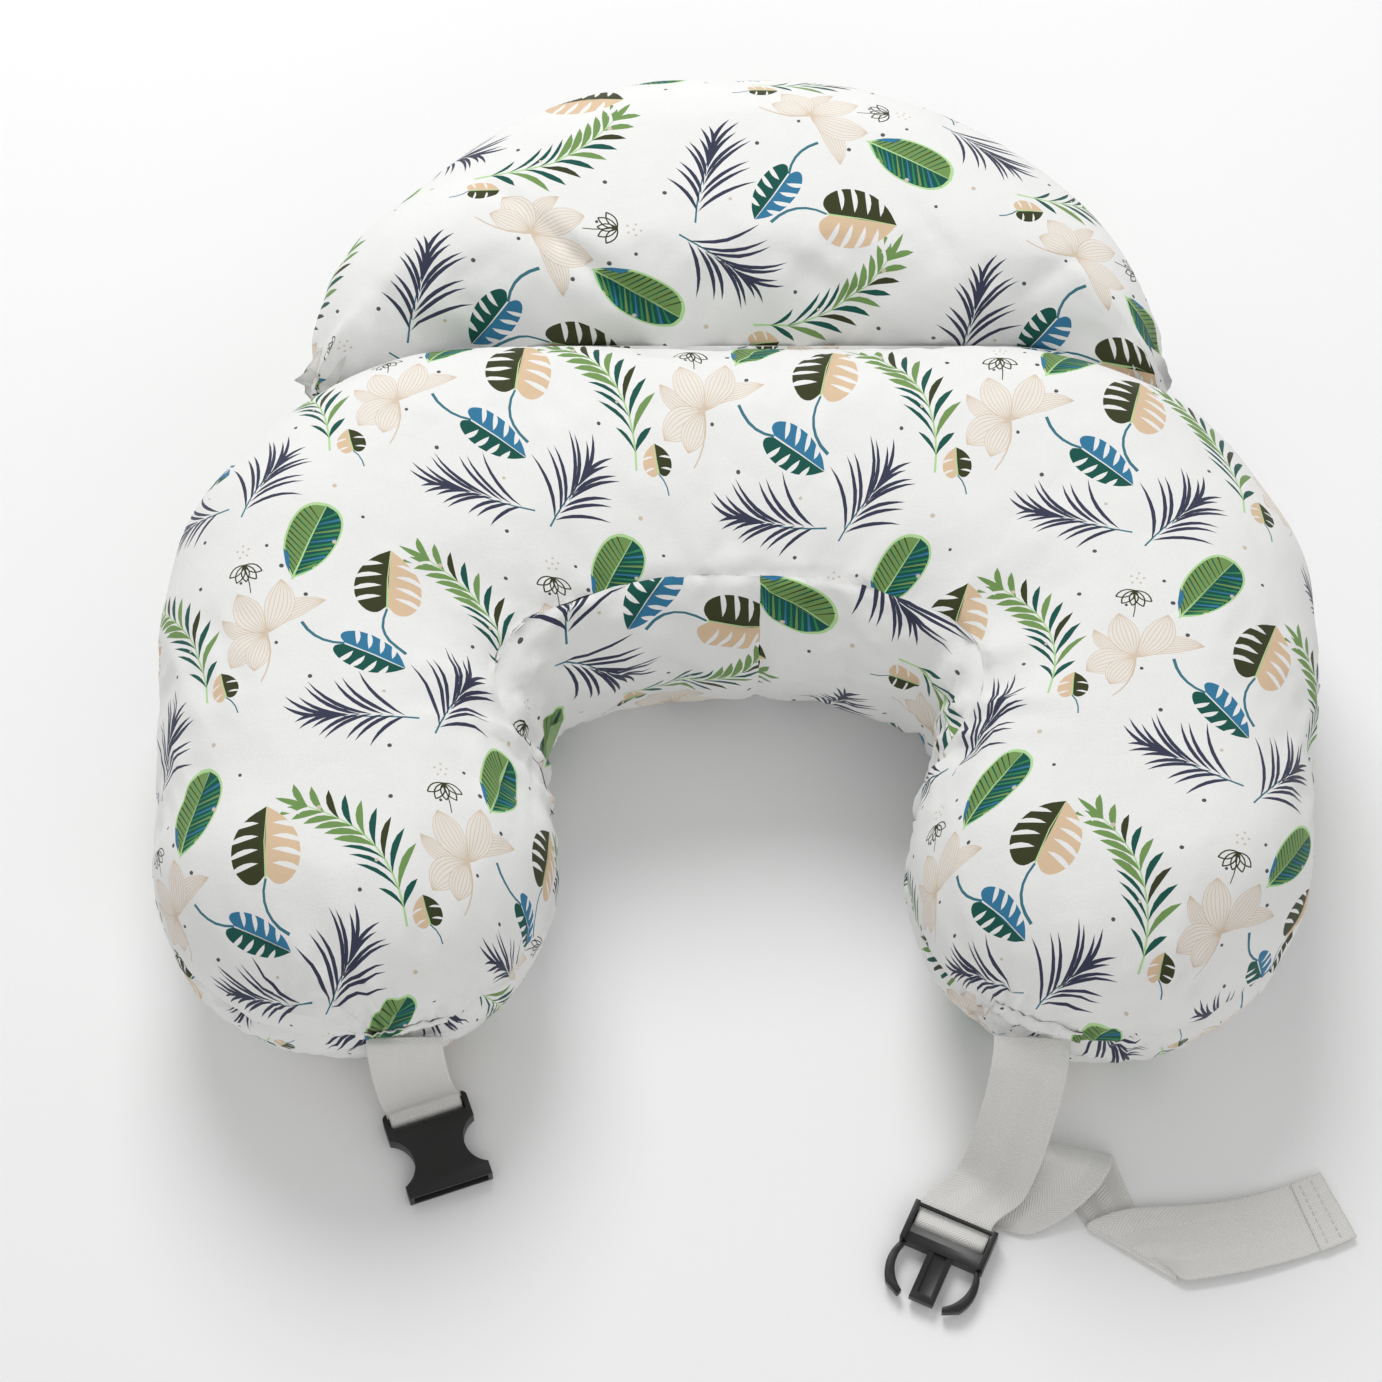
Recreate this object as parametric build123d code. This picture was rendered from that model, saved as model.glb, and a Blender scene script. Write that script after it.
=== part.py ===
from build123d import *
import math
import os

# Nursing pillow, millimetres, +Z up.
# +X is the wearer's right as the pillow lies with its arms towards -Y. The origin is on the resting
# face, midway across the pillow and midway between the arm tips and the back of the back cushion.

# ---- driving dimensions: main U cushion
HALF_WIDTH = 300.0            # outer side of each arm
ARM_TIP_HALF_WIDTH = 292.0    # the arms lean in a little towards their tips
BACK_Y = 100.0                # back wall of the U
TIP_Y = -277.0                # ends of the arms
OPENING_HALF_WIDTH = 101.0    # waist opening, at its closed end
OPENING_TIP_HALF_WIDTH = 74.0
OPENING_SIDE_Y = -97.0        # where the opening's sides meet its arched end
OPENING_ARCH_Y = -75.0        # middle of the arched end
SHOULDER_RADIUS = 165.0
ARM_TIP_RADIUS = 80.0
OPENING_CORNER_RADIUS = 25.0
LOFT = 160.0                  # height of the U
EDGE_ROUND = 62.0             # crown of the U's upper and lower rims
SEAM_Z = 82.0                 # perimeter seam of the cover

# ---- driving dimensions: half-moon back cushion
BACK_HALF_WIDTH = 226.0
BACK_REAR_Y = 275.0
BACK_CENTRE_Y = 90.0          # its widest line
BACK_SIDE_RADIUS = 160.0
BACK_CORNER_RADIUS = 36.0
BACK_LOFT = 142.0
BACK_EDGE_ROUND = 35.0
CREASE_GAP = 2.4              # between the two cushions, filled by the hinge tapes

# ---- fabric skins, measured inwards from the outer surface
COVER = (0.0, 1.2)
LINER = (1.4, 2.2)
FILL = 2.4

# ---- inner wall of the waist opening, a panel of its own in two halves
WALL_HALF_WIDTH = 100.0
WALL_BACK_Y = -50.0
WALL_FRONT_Y = -112.0
WALL_Z = (22.0, 142.0)

# ---- webbing and buckle
WEB_WIDTH = 38.0
WEB_THICK = 1.6
STRAP_ROOT_Y = -279.6
STRAP_ROOT_Z = 84.0
LEFT_ROOT_X = -167.0
RIGHT_ROOT_X = 144.5
BUCKLE_WIDTH = 45.0
BAR_RADIUS = 2.3              # the bars that the webbing goes round
LOOP_CLEARANCE = 0.25
SOCKET_BAR = (-160.5, -286.8, 5.2)
SOCKET_YAW = 19.0
PLUG_BAR = (106.5, -351.5, 5.2)
PLUG_YAW = -24.0
PLUG_HINGE_BACK = 13.0        # webbing bends this far behind the plug's adjuster bar

# ---- zips
ZIP_GAP = 13.0                # height of the opening that the zip closes
MAIN_ZIP_DEPTH = 9.5          # sunk right into the underside, so that nothing drags on the floor
BACK_ZIP_DEPTH = 6.5
TAPE_THICK = 1.2
COIL_WIDTH = 3.4
MAIN_ZIP_HALF = 150.0
MAIN_ZIP_Y = 24.0
BACK_ZIP_HALF_ANGLE = 34.0
BACK_ZIP_Z = 74.0

BIG = 2000.0
nodes = {}


# ------------------------------------------------------------------ small helpers
def block(x0, x1, y0, y1, z0, z1):
    """A box given by its limits."""
    size = Box(x1 - x0, y1 - y0, z1 - z0)
    return Pos((x0 + x1) / 2, (y0 + y1) / 2, (z0 + z1) / 2) * size


def padded_solid(outline, loft, edge_round, inset):
    """A cushion-like solid: the outline pulled in by inset, with rounded upper and lower rims."""
    face = offset(outline, amount=-inset) if inset else outline
    body = Pos(0, 0, inset) * extrude(face, loft - 2 * inset)
    rims = body.edges().group_by(Axis.Z)
    return fillet(list(rims[0]) + list(rims[-1]), edge_round - inset)


def skin(outline, loft, edge_round, layer):
    """The shell between two insets of a padded solid."""
    outer = padded_solid(outline, loft, edge_round, layer[0])
    return outer - padded_solid(outline, loft, edge_round, layer[1])


def in_yaw(origin, yaw):
    """Local frame of a buckle half: x along its bars, -y towards its free end."""
    return Pos(*origin) * Rot(0, 0, yaw)


def sector(centre, r_in, r_out, half_angle, z0, z1, mid_angle=90.0):
    """A flat curved bar: the ring between two radii, over an angle, between two heights."""
    def at(radius, angle):
        a = math.radians(mid_angle + angle)
        return (centre[0] + radius * math.cos(a), centre[1] + radius * math.sin(a))
    left, right = -half_angle, half_angle
    edges = [
        ThreePointArc(at(r_in, left), at(r_in, 0), at(r_in, right)),
        Line(at(r_in, right), at(r_out, right)),
        ThreePointArc(at(r_out, right), at(r_out, 0), at(r_out, left)),
        Line(at(r_out, left), at(r_in, left)),
    ]
    return Pos(0, 0, z0) * extrude(make_face(edges), z1 - z0)


# ------------------------------------------------------------------ outlines
def main_outline():
    """Plan of the U, seen from above."""
    right = [
        Line((0, BACK_Y), (HALF_WIDTH, BACK_Y)),
        Line((HALF_WIDTH, BACK_Y), (ARM_TIP_HALF_WIDTH, TIP_Y)),
        Line((ARM_TIP_HALF_WIDTH, TIP_Y), (OPENING_TIP_HALF_WIDTH, TIP_Y)),
        Line((OPENING_TIP_HALF_WIDTH, TIP_Y), (OPENING_HALF_WIDTH, OPENING_SIDE_Y)),
    ]
    left = [mirror(line, Plane.YZ) for line in right]
    arch = ThreePointArc(
        (-OPENING_HALF_WIDTH, OPENING_SIDE_Y), (0, OPENING_ARCH_Y), (OPENING_HALF_WIDTH, OPENING_SIDE_Y)
    )
    face = make_face([edge for part in right + left + [arch] for edge in part.edges()])

    for height, radius in (
        (BACK_Y, SHOULDER_RADIUS), (TIP_Y, ARM_TIP_RADIUS), (OPENING_SIDE_Y, OPENING_CORNER_RADIUS),
    ):
        face = fillet([corner for corner in face.vertices() if abs(corner.Y - height) < 1], radius)
    return face


def back_top_arc():
    """Radius and centre height of the half-moon's rear arc, tangent to its two side arcs."""
    reach = BACK_HALF_WIDTH - BACK_SIDE_RADIUS
    rise = BACK_REAR_Y - BACK_CENTRE_Y
    radius = (reach ** 2 + rise ** 2 - BACK_SIDE_RADIUS ** 2) / (2 * (rise - BACK_SIDE_RADIUS))
    return radius, BACK_REAR_Y - radius


def back_outline(main):
    """Plan of the half-moon: a flattened dome less the U with the crease gap round it."""
    radius, centre_y = back_top_arc()
    side_x = BACK_HALF_WIDTH - BACK_SIDE_RADIUS
    join = math.atan2(BACK_CENTRE_Y - centre_y, side_x)
    meet = (radius * math.cos(join), centre_y + radius * math.sin(join))
    mid = join / 2
    side_mid = (side_x + BACK_SIDE_RADIUS * math.cos(mid), BACK_CENTRE_Y + BACK_SIDE_RADIUS * math.sin(mid))
    front = BACK_CENTRE_Y - 120.0
    right = [
        ThreePointArc(meet, side_mid, (BACK_HALF_WIDTH, BACK_CENTRE_Y)),
        Line((BACK_HALF_WIDTH, BACK_CENTRE_Y), (BACK_HALF_WIDTH, front)),
    ]
    left = [mirror(line, Plane.YZ) for line in right]
    rear = ThreePointArc((-meet[0], meet[1]), (0, BACK_REAR_Y), meet)
    base = Line((-BACK_HALF_WIDTH, front), (BACK_HALF_WIDTH, front))
    dome = make_face([edge for part in right + left + [rear, base] for edge in part.edges()])
    moon = dome - offset(main, amount=CREASE_GAP)
    moon = max(moon.faces(), key=lambda f: f.center().Y)
    core = offset(moon, amount=-BACK_CORNER_RADIUS)
    return offset(core, amount=BACK_CORNER_RADIUS, kind=Kind.ARC)


# ------------------------------------------------------------------ webbing
def section(station):
    """Cross-section of the webbing: centre, direction of its width, its surface normal, its width."""
    centre, across, normal, width = station
    across = Vector(*across).normalized()
    normal = Vector(*normal)
    normal = (normal - across * normal.dot(across)).normalized()
    half, thick = across * (width / 2), normal * (WEB_THICK / 2)
    middle = Vector(*centre)
    points = [middle - half - thick, middle + half - thick, middle + half + thick, middle - half + thick]
    return Face(Wire.make_polygon(points, close=True))


def ribbon(stations):
    """Webbing that follows its stations in straight runs."""
    return loft([section(s) for s in stations], ruled=True)


def yawed(angle):
    """Width direction of webbing that lies flat, turned by angle about Z."""
    return (math.cos(math.radians(angle)), math.sin(math.radians(angle)), 0)


def web_loop(place, back_reach):
    """Webbing round a bar, with its ends lying flat behind the bar."""
    inner = BAR_RADIUS + LOOP_CLEARANCE
    outer = inner + WEB_THICK
    ring = Rot(0, 90, 0) * (Cylinder(outer, WEB_WIDTH) - Cylinder(inner, WEB_WIDTH))
    front = ring - block(-BIG, BIG, 0, BIG, -BIG, BIG)
    half = WEB_WIDTH / 2
    upper = block(-half, half, 0, back_reach, inner, outer)
    lower = block(-half, half, 0, back_reach, -outer, -inner)
    return place * (front + upper + lower)


# ------------------------------------------------------------------ main cushion
def make_main_cushion(outline):
    """Cover panels, liner bag and fibre filling of the U, with the sunk zip opening underneath."""
    cover = skin(outline, LOFT, EDGE_ROUND, COVER)
    liner = skin(outline, LOFT, EDGE_ROUND, LINER)
    filling = padded_solid(outline, LOFT, EDGE_ROUND, FILL)
    wall = block(-WALL_HALF_WIDTH, WALL_HALF_WIDTH, WALL_FRONT_Y, WALL_BACK_Y, *WALL_Z)
    upper = block(-BIG, BIG, -BIG, BIG, SEAM_Z, BIG)
    zip_room = block(
        -MAIN_ZIP_HALF - 4, MAIN_ZIP_HALF + 4, MAIN_ZIP_Y - ZIP_GAP / 2, MAIN_ZIP_Y + ZIP_GAP / 2,
        -1, MAIN_ZIP_DEPTH + 0.5,
    )
    nodes["main_cover_top"] = (cover & upper) - wall
    nodes["main_cover_bottom"] = (cover - upper) - wall - zip_room
    inner_wall = cover & wall
    nodes["inner_wall_left"] = inner_wall & block(-BIG, 0, -BIG, BIG, -BIG, BIG)
    nodes["inner_wall_right"] = inner_wall & block(0, BIG, -BIG, BIG, -BIG, BIG)
    nodes["main_liner"] = liner - zip_room
    nodes["main_fibre_fill"] = filling - zip_room


def make_main_zip():
    """Straight zip, sunk into the underside so that nothing stands below the resting face."""
    y, half = MAIN_ZIP_Y, COIL_WIDTH / 2
    z = MAIN_ZIP_DEPTH - 1.0
    edge = ZIP_GAP / 2
    nodes["main_zip_tape_back"] = block(-MAIN_ZIP_HALF, MAIN_ZIP_HALF, y + half, y + edge, z - TAPE_THICK, z)
    nodes["main_zip_tape_front"] = block(-MAIN_ZIP_HALF, MAIN_ZIP_HALF, y - edge, y - half, z - TAPE_THICK, z)
    nodes["main_zip_coil"] = block(
        -MAIN_ZIP_HALF + 6, MAIN_ZIP_HALF - 6, y - half, y + half, z - TAPE_THICK - 0.6, z + 0.4
    )
    x = -MAIN_ZIP_HALF + 16
    base = z - TAPE_THICK - 1.0
    body = block(x - 6, x + 6, y - 3.6, y + 3.6, base - 2.2, base)
    bridge = block(x - 3.5, x + 3.5, y - 1, y + 1, base - 3.4, base - 2.2)
    nodes["main_zip_slider"] = fillet(body.edges().filter_by(Axis.Z), 2.2) + bridge
    tab = block(x + 4.2, x + 30, y - 2.6, y + 2.6, base - 4.4, base - 3.0)
    nodes["main_zip_pull"] = fillet(tab.edges().filter_by(Axis.Z), 2.0)


# ------------------------------------------------------------------ back cushion
def make_back_cushion(outline):
    """Cover, liner and filling of the half-moon, with its zip opening along the rear wall."""
    cover = skin(outline, BACK_LOFT, BACK_EDGE_ROUND, COVER)
    liner = skin(outline, BACK_LOFT, BACK_EDGE_ROUND, LINER)
    filling = padded_solid(outline, BACK_LOFT, BACK_EDGE_ROUND, FILL)
    radius, centre_y = back_top_arc()
    half_gap = ZIP_GAP / 2
    zip_room = sector(
        (0, centre_y), radius - BACK_ZIP_DEPTH, radius + 10, BACK_ZIP_HALF_ANGLE + 1,
        BACK_ZIP_Z - half_gap, BACK_ZIP_Z + half_gap,
    )
    upper = block(-BIG, BIG, -BIG, BIG, BACK_ZIP_Z, BIG)
    nodes["back_cover_top"] = (cover & upper) - zip_room
    nodes["back_cover_bottom"] = (cover - upper) - zip_room
    nodes["back_liner"] = liner - zip_room
    nodes["back_fibre_fill"] = filling - zip_room


def make_back_zip():
    """Curved zip round the back wall, with its slider parked at one end."""
    radius, centre_y = back_top_arc()
    centre = (0, centre_y)
    z, half = BACK_ZIP_Z, COIL_WIDTH / 2
    outer = radius - BACK_ZIP_DEPTH + 2.5
    inner = outer - TAPE_THICK
    edge = ZIP_GAP / 2
    angle = BACK_ZIP_HALF_ANGLE
    nodes["back_zip_tape_upper"] = sector(centre, inner, outer, angle, z + half, z + edge)
    nodes["back_zip_tape_lower"] = sector(centre, inner, outer, angle, z - edge, z - half)
    nodes["back_zip_coil"] = sector(centre, inner - 0.4, outer + 0.6, angle - 1.5, z - half, z + half)
    park = 90 + angle - 4
    face_r = outer + 1.0
    place = Pos(0, centre_y, z) * Rot(0, 0, park - 90)
    body = block(-6, 6, face_r, face_r + 2.2, -3.6, 3.6)
    bridge = block(-1, 1, face_r + 2.2, face_r + 3.4, -3.5, 3.5)
    slider = fillet(body.edges().filter_by(Axis.Y), 2.2) + bridge
    nodes["back_zip_slider"] = place * slider
    tab = block(-2.6, 2.6, face_r + 3.8, face_r + 5.2, -27, -1.5)
    nodes["back_zip_pull"] = place * fillet(tab.edges().filter_by(Axis.Y), 2.0)


def make_hinge_tapes():
    """Seam allowances of the two cushions, face to face at the bottom of the crease."""
    half = HALF_WIDTH - SHOULDER_RADIUS - 6
    z0, z1 = SEAM_Z + 2, LOFT - EDGE_ROUND - 2
    nodes["hinge_tape_front"] = block(-half, half, BACK_Y + 0.1, BACK_Y + 0.9, z0, z1)
    rear = BACK_Y + CREASE_GAP
    nodes["hinge_tape_back"] = block(-half, half, rear - 0.9, rear - 0.1, z0, z1)


# ------------------------------------------------------------------ straps
def strap_flap(x, reach):
    """Folded tab of cover fabric over the sewn end of a strap."""
    half = WEB_WIDTH / 2 + 4
    return block(x - half, x + half, TIP_Y - 1.4, TIP_Y - 0.2, STRAP_ROOT_Z - 0.4, STRAP_ROOT_Z + reach)


def make_left_strap():
    """Short strap: hangs from its root down the arm's end and holds the socket by its bar."""
    across = yawed(SOCKET_YAW)
    x, y, z = SOCKET_BAR
    place = in_yaw(SOCKET_BAR, SOCKET_YAW)
    loop = web_loop(place, 3.0)
    reach = BAR_RADIUS + LOOP_CLEARANCE + WEB_THICK / 2
    back = (-math.sin(math.radians(SOCKET_YAW)), math.cos(math.radians(SOCKET_YAW)))
    stations = [
        ((LEFT_ROOT_X, STRAP_ROOT_Y - 0.9, STRAP_ROOT_Z - 1.2), yawed(2), (0, -1, 0), WEB_WIDTH),
        ((-166, -285.4, 60), yawed(8), (0, -1, 0.08), WEB_WIDTH),
        ((-164, -286.4, 34), yawed(14), (0, -1, 0.05), WEB_WIDTH),
        ((-162, -285.6, 16), across, (0, -1, 0.2), WEB_WIDTH),
        ((x + back[0] * 3.0, y + back[1] * 3.0, z + reach), across, (0, -0.5, 1), WEB_WIDTH),
    ]
    nodes["left_strap"] = ribbon(stations) + loop


def make_right_strap():
    """Long strap: down to the plug, back beneath itself, over a loose roll and out to its hemmed tail."""
    level = PLUG_BAR[2] + BAR_RADIUS + LOOP_CLEARANCE + WEB_THICK / 2
    low = PLUG_BAR[2] - BAR_RADIUS - LOOP_CLEARANCE - WEB_THICK / 2
    hinge = in_yaw(PLUG_BAR, PLUG_YAW) * Pos(0, PLUG_HINGE_BACK + 1.5, 0)
    hx, hy = hinge.position.X, hinge.position.Y
    flat = (0, 0, 1)
    down = [
        ((RIGHT_ROOT_X, STRAP_ROOT_Y - 0.9, STRAP_ROOT_Z - 1.2), yawed(-4), (0, -1, 0.6), WEB_WIDTH),
        ((142.0, -292.0, 70), yawed(-5), (0, -1, 0.8), WEB_WIDTH),
        ((139.5, -301.0, 50), yawed(-6), (0, -1, 0.45), WEB_WIDTH),
        ((136.0, -310.5, 30), yawed(-9), (0, -1, 0.5), WEB_WIDTH),
        ((132.5, -320.0, 15), yawed(-17), (0, -0.8, 1), WEB_WIDTH),
        ((125.0, -330.0, level + 0.4), yawed(-26), (0, -0.15, 1), WEB_WIDTH),
        ((hx, hy, level), yawed(PLUG_YAW), flat, WEB_WIDTH),
    ]
    roll_x, roll_y, roll_r = 168.5, -319.0, 9.5
    roll_across, roll_width = yawed(-5), 43.0
    under = [
        ((hx, hy, low), yawed(PLUG_YAW), flat, WEB_WIDTH),
        ((132.0, -339.0, low), yawed(-46), flat, WEB_WIDTH),
        ((148.0, -332.5, 5), yawed(-48), (-0.2, -0.1, 1), WEB_WIDTH),
        ((159.0, -325.0, 15), yawed(-30), (-0.3, -0.3, 1), 40.0),
    ]
    for turn in range(90, -91, -30):
        out, rise = math.cos(math.radians(turn)), math.sin(math.radians(turn))
        centre = (roll_x, roll_y + roll_r * out, roll_r + WEB_THICK / 2 + 0.2 + roll_r * rise)
        under.append((centre, roll_across, (0, out, rise), roll_width))
    fold_across, fold_width = yawed(-32), 52.0
    fold_x, fold_y, fold_r = 196.5, -361.0, 1.6
    side = (-math.sin(math.radians(32)), -math.cos(math.radians(32)))
    for turn in (-90, -30, 30, 90):
        out, rise = math.cos(math.radians(turn)), math.sin(math.radians(turn))
        centre = (
            fold_x + side[0] * fold_r * out, fold_y + side[1] * fold_r * out,
            WEB_THICK / 2 + 0.2 + fold_r + fold_r * rise,
        )
        under.append((centre, fold_across, (side[0] * out, side[1] * out, rise), fold_width))
    tail = [
        ((222.0, -357.0, 4.6), yawed(-78), flat, 41.0),
        ((250.0, -353.5, 4.4), yawed(-80), flat, WEB_WIDTH),
        ((278.0, -346.0, 3.4), yawed(-72), flat, WEB_WIDTH),
        ((303.0, -336.5, 2.8), yawed(-64), flat, WEB_WIDTH),
    ]
    hem = [
        ((284.5, -343.6, 1.2), yawed(-69), flat, WEB_WIDTH),
        ((303.0, -336.5, 1.0), yawed(-64), flat, WEB_WIDTH),
    ]
    nodes["right_strap"] = ribbon(down)
    nodes["right_strap_tail"] = ribbon(under + tail)
    nodes["strap_tail_hem"] = ribbon(hem)
    nodes["strap_loop"] = web_loop(in_yaw(PLUG_BAR, PLUG_YAW), PLUG_HINGE_BACK - 1.5)


# ------------------------------------------------------------------ buckle
def make_socket():
    """Female half: web bar between two lugs, waisted hollow body, flared mouth."""
    half = BUCKLE_WIDTH / 2
    depth, neck, mouth = 44.0, 13.5, 22.0
    outline = make_face(
        [
            Line((-half, 3.2), (half, 3.2)),
            Line((half, 3.2), (half, -11)),
            ThreePointArc((half, -11), (neck, -24), (mouth, -37)),
            Line((mouth, -37), (mouth, -depth)),
            Line((mouth, -depth), (-mouth, -depth)),
            Line((-mouth, -depth), (-mouth, -37)),
            ThreePointArc((-mouth, -37), (-neck, -24), (-half, -11)),
            Line((-half, -11), (-half, 3.2)),
        ]
    )
    height = 2 * (SOCKET_BAR[2] - 0.1)
    body = Pos(0, 0, -height / 2) * extrude(outline, height)
    body = fillet(body.edges().filter_by(Axis.Z).group_by(Axis.Y)[-1], 3.0)
    web = WEB_WIDTH / 2 + 0.8
    slot = block(-web, web, -6.5, 5, -BIG, BIG)
    cavity = block(-mouth + 2.4, mouth - 2.4, -depth - 1, -37, -height / 2 + 1.5, height / 2 - 1.5)
    throat = block(-neck + 1.6, neck - 1.6, -38, -12, -height / 2 + 1.5, height / 2 - 1.5)
    bar = Rot(0, 90, 0) * Cylinder(BAR_RADIUS, BUCKLE_WIDTH - 2)
    shape = (body - slot - cavity - throat) + bar
    nodes["buckle_socket"] = in_yaw(SOCKET_BAR, SOCKET_YAW) * shape


def make_plug():
    """Male half: ladder frame that grips the webbing, and a centre guide with two rails."""
    half = BUCKLE_WIDTH / 2
    web = WEB_WIDTH / 2 + 0.8
    low, high = -PLUG_BAR[2] + 0.3, 6.8
    sides = block(web, half, -14, 7.4, low, high) + block(-half, -web, -14, 7.4, low, high)
    rear = Pos(0, 5.8, high - 1.2) * Rot(0, 90, 0) * Cylinder(1.1, BUCKLE_WIDTH - 1)
    bar = Rot(0, 90, 0) * Cylinder(BAR_RADIUS, BUCKLE_WIDTH - 1)
    cross = block(-half, half, -14, -8.6, low, 3.4)
    rails = block(-6.5, -3.6, -38, -13, -2.4, 2.8) + block(3.6, 6.5, -38, -13, -2.4, 2.8)
    web_plate = block(-5, 5, -37, -13, -0.9, 0.9)
    nose = block(-6.5, 6.5, -40, -36, -2.4, 2.8)
    shape = sides + rear + bar + cross + rails + web_plate + nose
    nodes["buckle_plug"] = in_yaw(PLUG_BAR, PLUG_YAW) * shape


def make_prongs():
    """Two springy side arms with ribbed ears that are squeezed towards the guide."""
    for name, sign in (("left", -1), ("right", 1)):
        arm = make_face(
            [
                Line((18.6, -14.5), (21.4, -14.5)),
                ThreePointArc((21.4, -14.5), (23.9, -28), (20.0, -37.5)),
                Line((20.0, -37.5), (12.0, -41.5)),
                Line((12.0, -41.5), (11.0, -38.5)),
                ThreePointArc((11.0, -38.5), (18.8, -29), (18.6, -14.5)),
            ]
        )
        solid = Pos(0, 0, -2.6) * extrude(arm, 5.6)
        if sign < 0:
            solid = mirror(solid, Plane.YZ)
        nodes[f"plug_prong_{name}"] = in_yaw(PLUG_BAR, PLUG_YAW) * solid


# ------------------------------------------------------------------ build and export
def build():
    main = main_outline()
    make_main_cushion(main)
    make_main_zip()
    make_back_cushion(back_outline(main))
    make_back_zip()
    make_hinge_tapes()
    nodes["strap_flap_left"] = strap_flap(LEFT_ROOT_X, 10)
    nodes["strap_flap_right"] = strap_flap(RIGHT_ROOT_X, 14)
    make_left_strap()
    make_right_strap()
    make_socket()
    make_plug()
    make_prongs()
    os.makedirs("parts", exist_ok=True)
    for name, shape in nodes.items():
        export_step(shape, f"parts/{name}.step")
        print(name, round(shape.volume), "mm3")


build()
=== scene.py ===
import math
import bmesh
import bpy
import numpy as np
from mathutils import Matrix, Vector, geometry, kdtree
from mathutils.bvhtree import BVHTree


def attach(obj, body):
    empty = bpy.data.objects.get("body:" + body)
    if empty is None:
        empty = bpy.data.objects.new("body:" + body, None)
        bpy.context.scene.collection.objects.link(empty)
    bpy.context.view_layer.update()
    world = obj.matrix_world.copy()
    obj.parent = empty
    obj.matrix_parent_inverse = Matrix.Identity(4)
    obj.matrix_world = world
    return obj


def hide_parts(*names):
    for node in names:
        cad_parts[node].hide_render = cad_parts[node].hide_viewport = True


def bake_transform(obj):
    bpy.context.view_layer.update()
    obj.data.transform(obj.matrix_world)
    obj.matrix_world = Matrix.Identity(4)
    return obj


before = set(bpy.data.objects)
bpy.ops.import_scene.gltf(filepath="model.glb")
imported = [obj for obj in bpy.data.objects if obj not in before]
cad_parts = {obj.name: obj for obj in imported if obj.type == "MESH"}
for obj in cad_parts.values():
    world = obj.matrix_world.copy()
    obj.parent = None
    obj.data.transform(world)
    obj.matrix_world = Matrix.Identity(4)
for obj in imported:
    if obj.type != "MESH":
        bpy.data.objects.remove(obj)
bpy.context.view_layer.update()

MM = 0.001
TAU = 2 * math.pi

COARSE, PITCH = 7.0, 4.5

# ---------------------------------------------------------------- printed inks (sRGB)
INKS = {
    "cloth": (0.945, 0.945, 0.94),
    "teal": (0.05, 0.33, 0.29),
    "blue": (0.20, 0.48, 0.63),
    "olive": (0.22, 0.24, 0.12),
    "tan": (0.88, 0.77, 0.64),
    "navy": (0.22, 0.23, 0.32),
    "stem": (0.24, 0.47, 0.53),
    "leaf": (0.46, 0.60, 0.34),
    "mid": (0.20, 0.53, 0.35),
    "light": (0.72, 0.87, 0.62),
    "line": (0.86, 0.79, 0.71),
    "wash": (0.94, 0.918, 0.885),
    "dot": (0.33, 0.34, 0.36),
    "sand": (0.83, 0.78, 0.71),
}
INK_NAMES = list(INKS)


def linear(colour):
    """sRGB to the linear values that a material works in."""
    return [c / 12.92 if c <= 0.04045 else ((c + 0.055) / 1.055) ** 2.4 for c in colour]


# ---------------------------------------------------------------- flat shapes for the print, in mm
def unit(angle):
    a = math.radians(angle)
    return np.array([math.cos(a), math.sin(a)])


def left_of(direction):
    return np.array([-direction[1], direction[0]])


def bow(start, end, bend, count):
    """Points on a shallow arc from start to end that bows to the left by bend."""
    start, end = np.array(start, float), np.array(end, float)
    t = np.linspace(0, 1, count)[:, None]
    side = left_of(end - start)
    return start + (end - start) * t + side * bend * 4 * t * (1 - t)


def sideways(line):
    """The unit direction to the left at each point of a line."""
    run = np.gradient(line, axis=0)
    run /= np.linalg.norm(run, axis=1)[:, None] + 1e-9
    return np.stack([-run[:, 1], run[:, 0]], 1)


def stroke(points, width0, width1):
    """A line whose width runs from width0 to width1."""
    points = np.array(points, float)
    side = sideways(points) * np.linspace(width0, width1, len(points))[:, None] / 2
    return np.concatenate([points + side, (points - side)[::-1]])


def lens(start, end, width, bend=0.0, count=6, fat=0.45):
    """A slim leaf, widest at the share fat of its length."""
    spine = bow(start, end, bend, count)
    t = np.linspace(0, 1, count)
    power = math.log(0.5) / math.log(fat)
    side = sideways(spine) * (np.sin(np.pi * t ** power) ** 0.8 * width / 2)[:, None]
    return np.concatenate([spine + side, (spine - side)[1:-1][::-1]])


def disc(centre, radius, count=7):
    a = np.arange(count) * TAU / count
    return np.array(centre) + radius * np.stack([np.cos(a), np.sin(a)], 1)


def smooth_path(points, count):
    """Catmull-Rom through the points."""
    p = np.array(points, float)
    p = np.concatenate([p[:1] * 2 - p[1:2], p, p[-1:] * 2 - p[-2:-1]])
    out = []
    for i in range(1, len(p) - 2):
        for t in np.arange(count) / count:
            a, b, c, d = p[i - 1:i + 3]
            out.append(0.5 * (2 * b + (c - a) * t + (2 * a - 5 * b + 4 * c - d) * t ** 2
                              + (3 * b - a - 3 * c + d) * t ** 3))
    out.append(p[-2])
    return np.array(out)


HALF_LEAF = [(0.05, 0), (-0.07, 0.28), (-0.05, 0.62), (0.12, 0.92), (0.36, 1.0), (0.62, 0.86),
             (0.84, 0.5), (1.0, 0)]


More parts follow.
